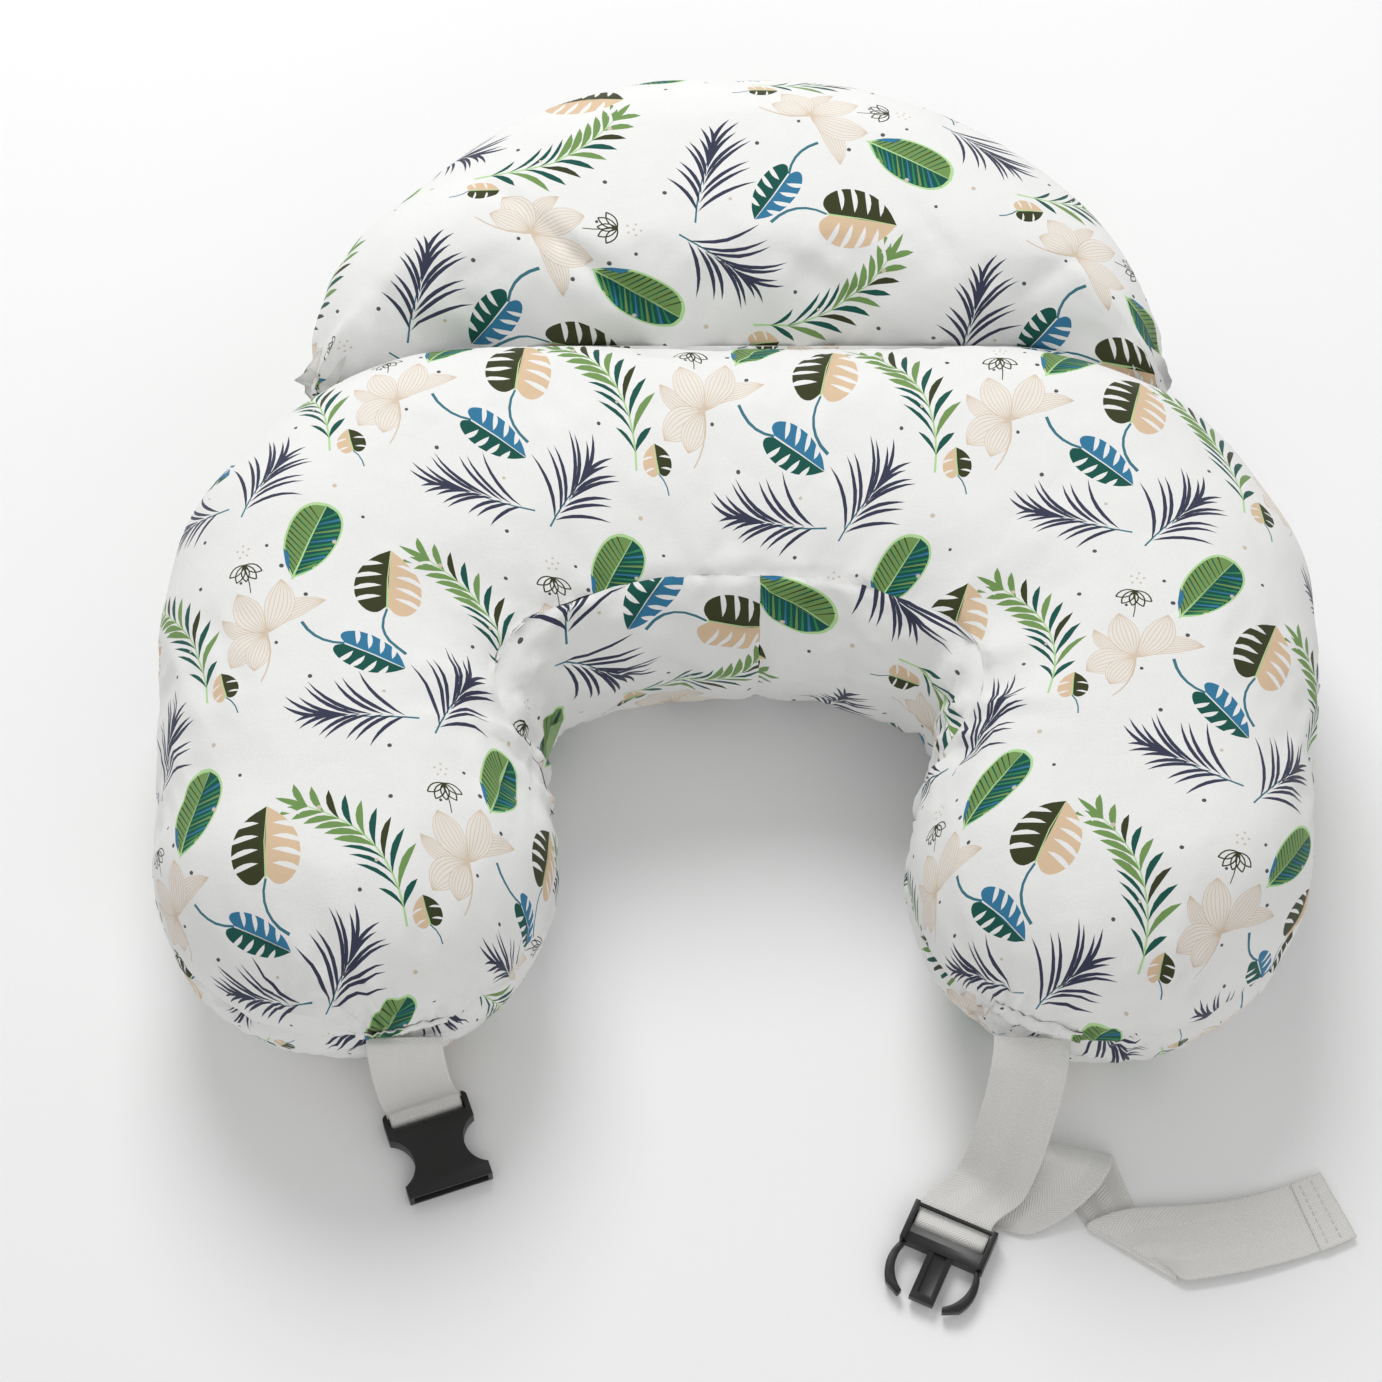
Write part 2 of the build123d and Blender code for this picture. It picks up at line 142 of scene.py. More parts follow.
def split_leaf(base, angle, length, width, inks, rib, slits=5):
    """A round leaf in two halves of different ink, with slits cut in from its edge."""
    along, side = unit(angle), left_of(unit(angle))
    base = np.array(base, float)

    def at(x, y):
        return base + along * x * length + side * y * width / 2

    shapes = []
    for sign, ink in ((1, inks[0]), (-1, inks[1])):
        edge = smooth_path(HALF_LEAF, 3)
        shapes.append((np.array([at(x, sign * y) for x, y in edge]), ink))
        for k in range(slits):
            t = 0.06 + 0.74 * k / (slits - 1)
            reach = 1.12 - 0.45 * max(t - 0.45, 0)
            inner, outer = at(t + 0.14, sign * 0.2), at(t - 0.02 + 0.1 * t, sign * reach)
            shapes.append((lens(outer, inner, length * 0.075, sign * 0.08, 6, 0.5), "cloth"))
    shapes.append((stroke([at(-0.03, 0), at(0.5, 0.03), at(1.0, 0)], 0.9, 0.3), rib))
    return shapes


def palm(base, angle, length, pairs, reach, spread):
    """A frond: a thin stem with long narrow leaflets that swing forward to its tip."""
    along = unit(angle)
    base = np.array(base, float)
    shapes = [(stroke(bow(base, base + along * length, 0.03, 6), 1.0, 0.4), "stem")]
    for i in range(pairs):
        t = 0.14 + 0.84 * i / (pairs - 1)
        root = base + along * length * t
        for sign, far in zip((1, -1), reach):
            size = far * (0.66 + 0.42 * math.sin(math.pi * min(1, 0.2 + 0.8 * t))) * (1 - 0.08 * (i % 3))
            open_angle = spread * (1 - 0.66 * t) - 4 * (i % 2)
            tip = root + unit(angle + sign * open_angle) * size
            shapes.append((lens(root, tip, 2.05, -sign * 0.1, 7, 0.45), "navy"))
    return shapes


def fern(base, tip, bend):
    """A curved branch with rounded leaflets, pale ones at its tip and dark ones below."""
    spine = bow(base, tip, bend, 12)
    shapes = [(stroke(spine, 1.2, 0.5), "light")]
    for i in range(1, 11):
        run = spine[i + 1] - spine[i - 1]
        angle = math.degrees(math.atan2(run[1], run[0]))
        t = i / 11
        for sign in (1, -1):
            length = 27.0 * (1 - 0.5 * t) * (0.6 if i == 1 else 1)
            if sign > 0:
                ink, width = ("leaf", 3.7) if t > 0.45 else ("teal", 2.0)
            else:
                ink, width = ("leaf", 3.6) if t > 0.8 or i % 4 == 2 else (("olive", "teal")[i % 2], 3.4)
            end = spine[i] + unit(angle + sign * 38) * length
            shapes.append((lens(spine[i], end, width, -sign * 0.09, 6, 0.58), ink))
    shapes.append((lens(spine[-2], spine[-1] + (spine[-1] - spine[-2]) * 0.9, 3.2, 0, 6), "leaf"))
    return shapes


def broad_leaf(base, angle, length, width):
    """A broad striped leaf with a pale edge and a blue corner."""
    along, side = unit(angle), left_of(unit(angle))
    base = np.array(base, float)

    def at(x, y):
        return base + along * x * length + side * y * width / 2

    half = smooth_path([(0, 0), (0.12, 0.42), (0.34, 0.86), (0.6, 1.0), (0.83, 0.88), (0.96, 0.5),
                        (1, 0)], 3)

    def half_at(sign, scale):
        return np.array([at(0.5 + (x - 0.5) * scale, sign * y * scale) for x, y in half])

    shapes = [(np.concatenate([half_at(1, 1.05), half_at(-1, 1.05)[::-1][1:-1]]), "light"),
              (half_at(1, 0.97), "leaf"), (half_at(-1, 0.98), "teal")]
    for k in range(13):
        t = 0.02 + 0.064 * k
        edge = np.interp(t + 0.16, half[:, 0], half[:, 1])
        vein = stroke([at(t, -0.03), at(t + 0.16, -0.95 * edge)], 0.5, 1.5)
        shapes.append((vein, ("mid", "leaf", "mid", "blue")[k % 4]))
        edge = np.interp(t + 0.13, half[:, 0], half[:, 1])
        vein = stroke([at(t, 0.03), at(t + 0.13, 0.94 * edge)], 0.35, 0.8)
        shapes.append((vein, ("olive", "teal")[k % 2]))
    corner = [at(0.03, 0.2), at(0.12, 0.5), at(0.3, 0.86), at(0.24, 0.5)]
    shapes.append((np.array(corner), "blue"))
    shapes.append((stroke([at(-0.04, 0), at(0.5, 0.02), at(0.98, 0)], 1.0, 0.4), "light"))
    return shapes


def flower(centre):
    """A large pale flower drawn in thin lines."""
    centre = np.array(centre, float)
    shapes = []
    for angle, length, width, bend in (
        (150, 27, 9, 0.14), (26, 35, 10, 0.12), (116, 29, 15, 0.06), (70, 32, 15, -0.08),
        (214, 26, 16, -0.08), (246, 22, 13, -0.05),
    ):
        tip = centre + unit(angle) * length
        shapes.append((lens(centre, tip, width, bend, 9, 0.55), "wash"))
        for share in (1.0, 0.7, 0.4, 0.1, -0.2, -0.5, -0.75, -1.0):
            spine = bow(centre, tip, bend, 9)
            half = (np.sin(np.pi * np.linspace(0, 1, 9) ** 1.16) ** 0.8 * width / 2)[:, None]
            shapes.append((stroke(spine + sideways(spine) * half * share, 0.45, 0.3), "line"))
    shapes.append((stroke(bow(centre, centre + np.array([-6, -27.0]), 0.1, 6), 1.0, 0.7), "line"))
    return shapes


def bud(centre):
    """A drooping bud in outline, with its seeds above it."""
    centre = np.array(centre, float)
    shapes = [(stroke(bow(centre, centre + [1.5, -15], 0.04, 4), 0.7, 0.5), "olive")]
    for angle in (-158, -124, -90, -56, -22):
        end = centre + unit(angle) * (10.5 if angle == -90 else 12.0) * np.array([0.8, 0.75])
        for bend in (0.22, -0.22):
            shapes.append((stroke(bow(centre + [0, 2.0], end, bend, 6), 0.75, 0.75), "olive"))
    for x, y in ((-2, 7), (2, 7.5), (0, 10), (-3, 11), (3.2, 11), (0.4, 13.5)):
        shapes.append((disc(centre + [x, y], 0.75, 5), "sand"))
    return shapes


def one_repeat():
    """Everything in one repeat of the print, about the middle of its two-tone leaf."""
    shapes = flower((96, -24))
    shapes += fern((59, -54), (15, 20), -0.16)
    shapes += palm((3, -83), 170, 46, 8, (25, 35), 52)
    shapes += palm((10, -91), 56, 36, 7, (37, 31), 54)
    shapes += broad_leaf((33, -132), 62, 47, 25)
    shapes += split_leaf((-28, -35), -33, 34, 21, ("blue", "teal"), "cloth")
    shapes.append((stroke(bow((-27, -35.5), (-46, -20), 0.15, 6), 1.3, 1.7), "stem"))
    shapes += split_leaf((-3, -16), 80, 37, 34, ("olive", "tan"), "light")
    shapes.append((stroke(bow((-3, -16), (2, -45), -0.2, 7), 1.2, 1.8), "stem"))
    shapes += split_leaf((71, -55), 98, 15, 15, ("tan", "olive"), "light", 3)
    shapes.append((stroke(bow((71, -55), (76, -65), 0.1, 4), 0.7, 0.7), "stem"))
    shapes += bud((9, -123))
    for x, y, r, ink in (
        (-42, -4, 1.2, "dot"), (-60, -30, 1.0, "dot"), (28, 14, 1.3, "sand"), (40, -32, 1.1, "dot"),
        (-24, 26, 1.2, "sand"), (62, 12, 1.2, "dot"), (86, 8, 0.9, "dot"), (-52, 14, 1.3, "dot"),
        (24, -70, 1.2, "dot"), (60, -78, 1.3, "sand"), (22, -112, 1.0, "dot"), (-12, -66, 1.0, "sand"),
        (50, -20, 0.9, "sand"), (114, -52, 1.2, "dot"), (-14, -98, 1.2, "dot"), (72, -98, 1.0, "dot"),
    ):
        shapes.append((disc((x, y), r), ink))
    return shapes


REPEAT = one_repeat()
REPEAT_ACROSS = np.array([160.0, 0.0])
REPEAT_ALONG = np.array([80.0, -139.0])


ARM_IN, ARM_BACK, RIGHT_FORWARD, ARCH_FORWARD = 64, 24, 40, 18
LEFT_OUT, LEFT_REAR = 17, 33


def drawn_main(points):
    """The U's top: stuffing draws the arms' print in towards the opening, and the right side's forward."""
    x, y = points.T
    to_tip, arm = np.clip((100 - y) / 400, 0, 1), np.clip(-y / 220, 0, 1)
    right = np.clip((x - 60) / 260, 0, 1)
    mid_arm = np.exp(-((np.abs(x) - 180) / 80) ** 2)
    over_arch = np.exp(-((y + 10) / 70) ** 2 - (x / 130) ** 2)
    across = -ARM_IN * np.sin(np.clip(x / 190, -1, 1) * math.pi / 2) * to_tip ** 1.4 - 3 * to_tip
    back = 7 + ARM_BACK * arm * mid_arm - RIGHT_FORWARD * right * (1 - 0.6 * arm) - ARCH_FORWARD * over_arch
    return points + np.stack([across, back], 1)


def drawn_back(points):
    """The half-moon's top: its left end is drawn outwards and to the rear."""
    left = np.clip(-points[:, 0] / 240, 0, 1)
    return points + np.stack([-3 - LEFT_OUT * left, LEFT_REAR * left ** 1.5 - 4], 1)


def print_shapes(low, high, origin, turn, drawn=None):
    """The repeats that reach into a flat box, with the print turned about its origin."""
    c, s = math.cos(math.radians(turn)), math.sin(math.radians(turn))
    rotate = np.array([[c, s], [-s, c]])
    shapes = []
    for i in range(-6, 7):
        for j in range(-6, 7):
            offset = i * REPEAT_ACROSS + j * REPEAT_ALONG
            middle = (offset + [25, -50]) @ rotate + origin
            if np.any(middle < low - 200) or np.any(middle > high + 200):
                continue
            for points, ink in REPEAT:
                p = (points + offset) @ rotate + origin
                if drawn:
                    p = drawn(p)
                if np.all(p.max(0) > low) and np.all(p.min(0) < high):
                    shapes.append((p, ink))
    return shapes


# ---------------------------------------------------------------- outlines and profiles
def rounded(corners, step=3.0):
    """A closed polygon with each corner rounded to its radius, sampled evenly."""
    points = []
    n = len(corners)
    for i in range(n):
        p0, p1, p2 = (np.array(corners[(i + k) % n][:2], float) for k in (-1, 0, 1))
        radius = corners[i][2]
        d0, d2 = (p0 - p1) / np.linalg.norm(p0 - p1), (p2 - p1) / np.linalg.norm(p2 - p1)
        half = math.acos(np.clip(d0 @ d2, -1, 1)) / 2
        cut = radius / math.tan(half)
        middle = p1 + (d0 + d2) / np.linalg.norm(d0 + d2) * radius / math.sin(half)
        start, end = p1 + d0 * cut - middle, p1 + d2 * cut - middle
        a0 = math.atan2(start[1], start[0])
        turn = (math.atan2(end[1], end[0]) - a0 + math.pi) % TAU - math.pi
        for t in np.linspace(0, 1, max(3, int(abs(turn) * radius / 2))):
            points.append(middle + radius * np.array([math.cos(a0 + turn * t), math.sin(a0 + turn * t)]))
    return resample(np.array(points), step)


def resample(points, step):
    closed = np.concatenate([points, points[:1]])
    run = np.concatenate([[0], np.cumsum(np.linalg.norm(np.diff(closed, axis=0), axis=1))])
    count = int(round(run[-1] / step))
    at = np.arange(count) * run[-1] / count
    return np.stack([np.interp(at, run, closed[:, k]) for k in (0, 1)], 1)


def soften(points, sigma, step):
    """Rounds a closed outline by averaging along it."""
    reach = int(3 * sigma / step)
    weights = np.exp(-0.5 * (np.arange(-reach, reach + 1) * step / sigma) ** 2)
    weights /= weights.sum()
    return sum(w * np.roll(points, k, 0) for k, w in zip(range(-reach, reach + 1), weights))


class Outline:
    """A closed counter-clockwise plan outline, with the distance from any point to it."""

    def __init__(self, points):
        self.p = points
        nxt, prv = np.roll(points, -1, 0), np.roll(points, 1, 0)
        run = nxt - prv
        run /= np.linalg.norm(run, axis=1)[:, None]
        self.n = np.stack([-run[:, 1], run[:, 0]], 1)
        self.step = np.linalg.norm(nxt - points, axis=1).mean()
        self.length = self.step * len(points)

    def nearest(self, q):
        """Foot point, inward normal, signed distance and arc position for each q."""
        foot, normal = np.empty_like(q), np.empty_like(q)
        dist, arc = np.empty(len(q)), np.empty(len(q))
        n = len(self.p)
        for i in range(0, len(q), 3000):
            part = q[i:i + 3000]
            gap = ((part[:, None, :] - self.p[None]) ** 2).sum(2)
            k = gap.argmin(1)
            best = np.full(len(part), 1e18)
            for a in (k - 1, k):
                p0, p1 = self.p[a % n], self.p[(a + 1) % n]
                d = p1 - p0
                t = np.clip(((part - p0) * d).sum(1) / (d * d).sum(1), 0, 1)
                f = p0 + d * t[:, None]
                g = ((part - f) ** 2).sum(1)
                use = g < best
                best[use] = g[use]
                m = self.n[a % n] * (1 - t[:, None]) + self.n[(a + 1) % n] * t[:, None]
                m /= np.linalg.norm(m, axis=1)[:, None]
                rows = np.arange(i, i + len(part))[use]
                foot[rows], normal[rows] = f[use], m[use]
                arc[rows] = ((a % n) + t)[use] * self.step
            rows = np.arange(i, i + len(part))
            dist[rows] = ((part - foot[rows]) * normal[rows]).sum(1)
        return foot, normal, dist, arc

    def at(self, arc):
        """Point and inward normal at arc positions."""
        k = (np.array(arc) / self.step) % len(self.p)
        i = np.floor(k).astype(int) % len(self.p)
        t = (k - np.floor(k))[:, None]
        j = (i + 1) % len(self.p)
        normal = self.n[i] * (1 - t) + self.n[j] * t
        return self.p[i] * (1 - t) + self.p[j] * t, normal / np.linalg.norm(normal, axis=1)[:, None]


class Profile:
    """A quarter of a rounded square from the seam, inwards and up or down to the flat middle."""

    def __init__(self, seam_z, rise, width, power):
        a = np.linspace(0, math.pi / 2, 400)
        self.r = width * (1 - np.cos(a) ** (2 / power))
        self.z = seam_z + rise * np.sin(a) ** (2 / power)
        steps = np.hypot(np.diff(self.r), np.diff(self.z))
        self.s = np.concatenate([[0], np.cumsum(steps)])
        self.extra = self.s[-1] - width

    def at(self, s):
        inside = np.maximum(s - self.s[-1], 0)
        return np.interp(s, self.s, self.r) + inside, np.interp(s, self.s, self.z)

    def arc_at_height(self, z):
        order = np.argsort(self.z)
        return float(np.interp(z, self.z[order], self.s[order]))


# ---------------------------------------------------------------- panels
class Panel:
    """Cover fabric: its flat boundary, and a flat point's place on the cushion and distance to a seam."""

    def __init__(self, boundary, place, seam_gap):
        self.boundary, self.place, self.seam_gap = boundary, place, seam_gap


def cap_place(outline, profile):
    """Upper or lower panel: flat position to its place on the cushion."""
    def place(q):
        foot, normal, dist, _ = outline.nearest(q)
        r, z = profile.at(np.maximum(dist + profile.extra, 0))
        plan = np.where((r >= dist)[:, None], foot + normal * r[:, None], q)
        plan = np.where((dist + profile.extra >= profile.s[-1])[:, None], q, plan)
        return np.concatenate([plan, z[:, None]], 1)
    return place


def cap_boundary(outline, profile, seam_at, stride):
    """Flat boundary of a panel whose seam lies at arc seam_at(position) up the profile."""
    arc = np.arange(0, len(outline.p), stride) * outline.step
    foot, normal = outline.at(arc)
    return foot + normal * (seam_at(arc) - profile.extra)[:, None]


def wall_place(outline, top, bottom, start):
    """Inner wall: first flat coordinate along the opening, second one up it from the mid seam."""
    def place(q):
        foot, normal = outline.at(q[:, 0] + start)
        rt, zt = top.at(np.maximum(q[:, 1], 0))
        rb, zb = bottom.at(np.maximum(-q[:, 1], 0))
        up = q[:, 1] >= 0
        r, z = np.where(up, rt, rb), np.where(up, zt, zb)
        return np.concatenate([foot + normal * r[:, None], z[:, None]], 1)
    return place


def hex_grid(low, high, pitch):
    rows = []
    for j, y in enumerate(np.arange(low[1], high[1], pitch * 0.866)):
        x = np.arange(low[0] + (j % 2) * pitch / 2, high[0], pitch)
        rows.append(np.stack([x, np.full(len(x), y)], 1))
    return np.concatenate(rows)


def inside(points, polygon):
    """Even-odd test of many points against one polygon."""
    hit = np.zeros(len(points), bool)
    x, y = points[:, 0], points[:, 1]
    nxt = np.roll(polygon, -1, 0)
    for (x0, y0), (x1, y1) in zip(polygon, nxt):
        if y0 != y1:
            cross = (y0 > y) != (y1 > y)
            hit ^= cross & (x < (x1 - x0) * (y - y0) / (y1 - y0) + x0)
    return hit


def triangulate(boundary, pitch, shapes=(), holes=()):
    """Triangles of a flat panel with the shapes' outlines cut into it. Also the ink of each."""
    low, high = boundary.min(0), boundary.max(0)
    grid = hex_grid(low, high, pitch)
    grid = grid[inside(grid, boundary)]
    lines = [boundary] + list(holes) + [s[0] for s in shapes]
    flat = np.concatenate(lines)
    edges, at = [], 0
    for p in lines:
        n = len(p)
        edges += [(at + i, at + (i + 1) % n) for i in range(n)]
        at += n
    tree = kdtree.KDTree(len(flat))
    for i, p in enumerate(flat):
        tree.insert((p[0], p[1], 0), i)
    tree.balance()
    keep = [tree.find((p[0], p[1], 0))[2] > pitch * 0.3 for p in grid]
    flat = np.concatenate([flat, grid[keep]])
    result = geometry.delaunay_2d_cdt([Vector(p) for p in flat], edges, [], 0, 1e-5)
    verts = np.array([v[:] for v in result[0]])
    tris = np.array(result[2])
    middle = verts[tris].mean(1)
    keep = inside(middle, boundary)
    for hole in holes:
        keep &= ~inside(middle, hole)
    tris, middle = tris[keep], middle[keep]
    order = np.argsort(middle[:, 0])
    tris, middle = tris[order], middle[order]
    inks = np.zeros(len(tris), int)
    for points, ink in shapes:
        first, last = np.searchsorted(middle[:, 0], (points[:, 0].min(), points[:, 0].max()))
        rows = np.arange(first, last)
        part = middle[rows]
        rows = rows[(part[:, 1] > points[:, 1].min()) & (part[:, 1] < points[:, 1].max())]
        if len(rows):
            inks[rows[inside(middle[rows], points)]] = INK_NAMES.index(ink)
    used, index = np.unique(tris, return_inverse=True)
    return verts[used], index.reshape(-1, 3), inks


# ---------------------------------------------------------------- the stuffed shape
def vertex_normals(verts, tris):
    cross = np.cross(verts[tris[:, 1]] - verts[tris[:, 0]], verts[tris[:, 2]] - verts[tris[:, 0]])
    normal = np.zeros_like(verts)
    for k in range(3):
        np.add.at(normal, tris[:, k], cross)
    return normal / (np.linalg.norm(normal, axis=1)[:, None] + 1e-12)


def neighbour_mean(verts, tris):
    total, count = np.zeros_like(verts), np.zeros(len(verts))
    for a, b in ((0, 1), (1, 2), (2, 0)):
        for i, j in ((a, b), (b, a)):
            np.add.at(total, tris[:, i], verts[tris[:, j]])
            np.add.at(count, tris[:, i], 1)
    return total / np.maximum(count, 1)[:, None]


def inflate(verts, tris, pinned, cap):
    """Cloth with pressure, in mm. Pinned vertices stay; no other moves further than cap."""
    mesh = bpy.data.meshes.new("cloth_run")
    mesh.from_pydata((verts * MM).tolist(), [], tris.tolist())
    obj = bpy.data.objects.new("cloth_run", mesh)
    bpy.context.scene.collection.objects.link(obj)
    group = obj.vertex_groups.new(name="pin")
    group.add([int(i) for i in np.nonzero(pinned)[0]], 1.0, "REPLACE")
    cloth = obj.modifiers.new("Cloth", "CLOTH")
    settings = cloth.settings
    settings.quality = 5
    settings.mass = 0.12
    settings.tension_stiffness = settings.compression_stiffness = 12
    settings.shear_stiffness = 4
    settings.bending_stiffness = 0.35
    settings.use_pressure = True
    settings.uniform_pressure_force = 3.0
    settings.shrink_min = -0.012
    settings.vertex_group_mass = "pin"
    settings.effector_weights.gravity = 0
    scene = bpy.context.scene
    scene.frame_start, scene.frame_end = 1, 20
    cloth.point_cache.frame_start, cloth.point_cache.frame_end = 1, 20
    for f in range(1, 21):
        scene.frame_set(f)
    run = obj.evaluated_get(bpy.context.evaluated_depsgraph_get())
    moved = np.empty(len(verts) * 3)
    run.data.vertices.foreach_get("co", moved)
    moved = moved.reshape(-1, 3) / MM
    scene.frame_set(1)
    bpy.data.objects.remove(obj)
    bpy.data.meshes.remove(mesh)
    step = moved - verts
    far = np.linalg.norm(step, axis=1)
    return verts + step * np.minimum(1, cap / np.maximum(far, 1e-9))[:, None]


def quarter(tris, first_new):
    """Each triangle into four, and the pairs of old points that the new ones lie between."""
    edges = np.sort(np.concatenate([tris[:, [0, 1]], tris[:, [1, 2]], tris[:, [2, 0]]]), 1)
    pairs, which = np.unique(edges, axis=0, return_inverse=True)
    ab, bc, ca = which.reshape(3, -1) + first_new
    a, b, c = tris.T
    corners = (a, ab, ca), (ab, b, bc), (ca, bc, c), (ab, bc, ca)
    return np.concatenate([np.stack(three, 1) for three in corners]), pairs


def split_curved(verts, tris):
    """The quartered triangles, with new points lifted onto the curve that the vertex normals give."""
    fine, pairs = quarter(tris, len(verts))
    normal = vertex_normals(verts, tris)
    middle = verts[pairs].mean(1)
    lift = sum(normal[k] * ((middle - verts[k]) * normal[k]).sum(1)[:, None] for k in pairs.T) / 2
    return np.concatenate([verts, middle - 0.75 * lift]), fine, pairs


def wound_outwards(verts, tris):
    """The triangles of a closed shape, all wound so that their normals point outwards."""
    mesh = bpy.data.meshes.new("orient")
    mesh.from_pydata((verts * MM).tolist(), [], tris.tolist())
    bm = bmesh.new()
    bm.from_mesh(mesh)
    bmesh.ops.recalc_face_normals(bm, faces=bm.faces)
    out = np.array([[v.index for v in f.verts] for f in bm.faces])
    bm.free()
    bpy.data.meshes.remove(mesh)
    return out


class Cushion:
    """Several panels sewn into one closed stuffed shape."""

    def __init__(self, panels, cap, smooth_rounds, wrinkle):
        flats, tris, spots, gaps = [], [], [], []
        at = 0
        for panel in panels:
            flat, tri, _ = triangulate(panel.boundary, COARSE)
            flats.append(flat)
            tris.append(tri + at)
            spots.append(panel.place(flat))
            gaps.append(panel.seam_gap(flat))
            at += len(flat)
        spots, gaps = np.concatenate(spots), np.concatenate(gaps)
        tree = kdtree.KDTree(at)
        for i, p in enumerate(spots):
            tree.insert(p, i)
        tree.balance()
        merged = np.arange(at)
        for i in np.nonzero(gaps < 1.0)[0]:
            for _, j, _ in tree.find_range(spots[i], 0.6):
                merged[i] = min(merged[i], merged[j], j)
        used, index = np.unique(merged, return_inverse=True)
        closed = index[np.concatenate(tris)]
        closed = closed[(closed[:, 0] != closed[:, 1]) & (closed[:, 1] != closed[:, 2])
                        & (closed[:, 2] != closed[:, 0])]
        verts, gap = spots[used], gaps[used]
        closed = wound_outwards(verts, closed)
        for _ in range(smooth_rounds):
            move = neighbour_mean(verts, closed) - verts
            verts = verts + 0.5 * move * (gap > 4)[:, None]
        verts = inflate(verts, closed, gap < 1.0, cap)
        verts[:, 2] = np.maximum(verts[:, 2], 0.0)
        self.coarse, self.coarse_tris = verts, closed
        # the same split for the flat panels and for the closed shape, so that each flat point has its place
        fine, fine_tris, pairs = split_curved(verts, closed)
        fine_gap = np.concatenate([gap, (gap[pairs[:, 0]] + gap[pairs[:, 1]]) / 2])
        fine = wrinkle(fine, vertex_normals(fine, fine_tris), fine_gap)
        fine[:, 2] = np.maximum(fine[:, 2], 0.0)
        self.verts, self.tris = fine, fine_tris
        self.normals = vertex_normals(fine, fine_tris)
        lookup = {tuple(p): i + len(verts) for i, p in enumerate(pairs)}
        self.flat_trees = []
        start = 0
        for flat, tri in zip(flats, tris):
            fine, pairs = quarter(tri - start, len(flat))
            ids = np.concatenate([index[start:start + len(flat)], np.empty(len(pairs), int)])
            for k, (a, b) in enumerate(pairs):
                low, high = sorted((ids[a], ids[b]))
                ids[len(flat) + k] = low if low == high else lookup.get((low, high), ids[a])
            points = np.concatenate([flat, flat[pairs].mean(1)])
            bvh = BVHTree.FromPolygons([(p[0], p[1], 0) for p in points], fine.tolist())
            self.flat_trees.append((points, fine, ids, bvh))
            start += len(flat)

    def at(self, number, q):
        """Place and outward normal on the cushion of flat points of a panel."""
        flat, tris, ids, bvh = self.flat_trees[number]
        spot, face = np.empty_like(q), np.empty(len(q), int)
        for i, p in enumerate(q):
            loc, _, k, _ = bvh.find_nearest((p[0], p[1], 0))
            spot[i], face[i] = loc[:2], k
        t = tris[face]
        a, b, c = flat[t[:, 0]], flat[t[:, 1]], flat[t[:, 2]]
        v0, v1, v2 = b - a, c - a, spot - a
        den = v0[:, 0] * v1[:, 1] - v1[:, 0] * v0[:, 1]
        den = np.where(np.abs(den) < 1e-12, 1e-12, den)
        w1 = (v2[:, 0] * v1[:, 1] - v1[:, 0] * v2[:, 1]) / den
        w2 = (v0[:, 0] * v2[:, 1] - v2[:, 0] * v0[:, 1]) / den
        weights = np.clip(np.stack([1 - w1 - w2, w1, w2], 1), 0, 1)
        weights /= weights.sum(1)[:, None]
        corner, corner_n = self.verts[ids[t]], self.normals[ids[t]]
        place = (corner * weights[..., None]).sum(1)
        normal = (corner_n * weights[..., None]).sum(1)
        normal /= np.linalg.norm(normal, axis=1)[:, None] + 1e-12
        lift = ((place[:, None] - corner) * corner_n).sum(2)[..., None] * corner_n
        return place - 0.7 * (lift * weights[..., None]).sum(1), normal


# ---------------------------------------------------------------- mesh objects
def lean(points):
    """The arms are not quite alike: the right one leans in towards its tip, the left one out a little."""
    out = points.copy()
    t = np.clip((-points[:, 1] - 70) / 200, 0, 1)
    t = t * t * (3 - 2 * t)
    out[:, 0] += np.where(points[:, 0] > 0, -11.0 * t, -2.0 * t)
    return out


def make_object(name, verts, faces, material, uv=None, ink=None, normals=None):
    mesh = bpy.data.meshes.new(name)
    mesh.from_pydata((np.asarray(verts) * MM).tolist(), [], [list(map(int, f)) for f in faces])
    mesh.update()
    for p in mesh.polygons:
        p.use_smooth = True
    loops = np.empty(len(mesh.loops), int)
    mesh.loops.foreach_get("vertex_index", loops)
    if uv is not None:
        layer = mesh.uv_layers.new(name="cloth")
        layer.data.foreach_set("uv", (np.asarray(uv)[loops] * MM).astype(np.float32).reshape(-1))
    if ink is not None:
        attribute = mesh.color_attributes.new("ink", "FLOAT_COLOR", "CORNER")
        palette = np.array([linear(INKS[k]) + [1.0] for k in INK_NAMES])
        per_face = palette[np.asarray(ink)]
        sizes = np.empty(len(mesh.polygons), int)
        mesh.polygons.foreach_get("loop_total", sizes)
        attribute.data.foreach_set("color", np.repeat(per_face, sizes, 0).astype(np.float32).reshape(-1))
    if normals is not None:
        mesh.normals_split_custom_set_from_vertices(np.asarray(normals).tolist())
    obj = bpy.data.objects.new(name, mesh)
    bpy.context.scene.collection.objects.link(obj)
    mesh.materials.append(material)
    return obj


SEAM_FOLD, HOLE_FOLD, ZIP_FOLD = 2.2, 7.0, 6.0


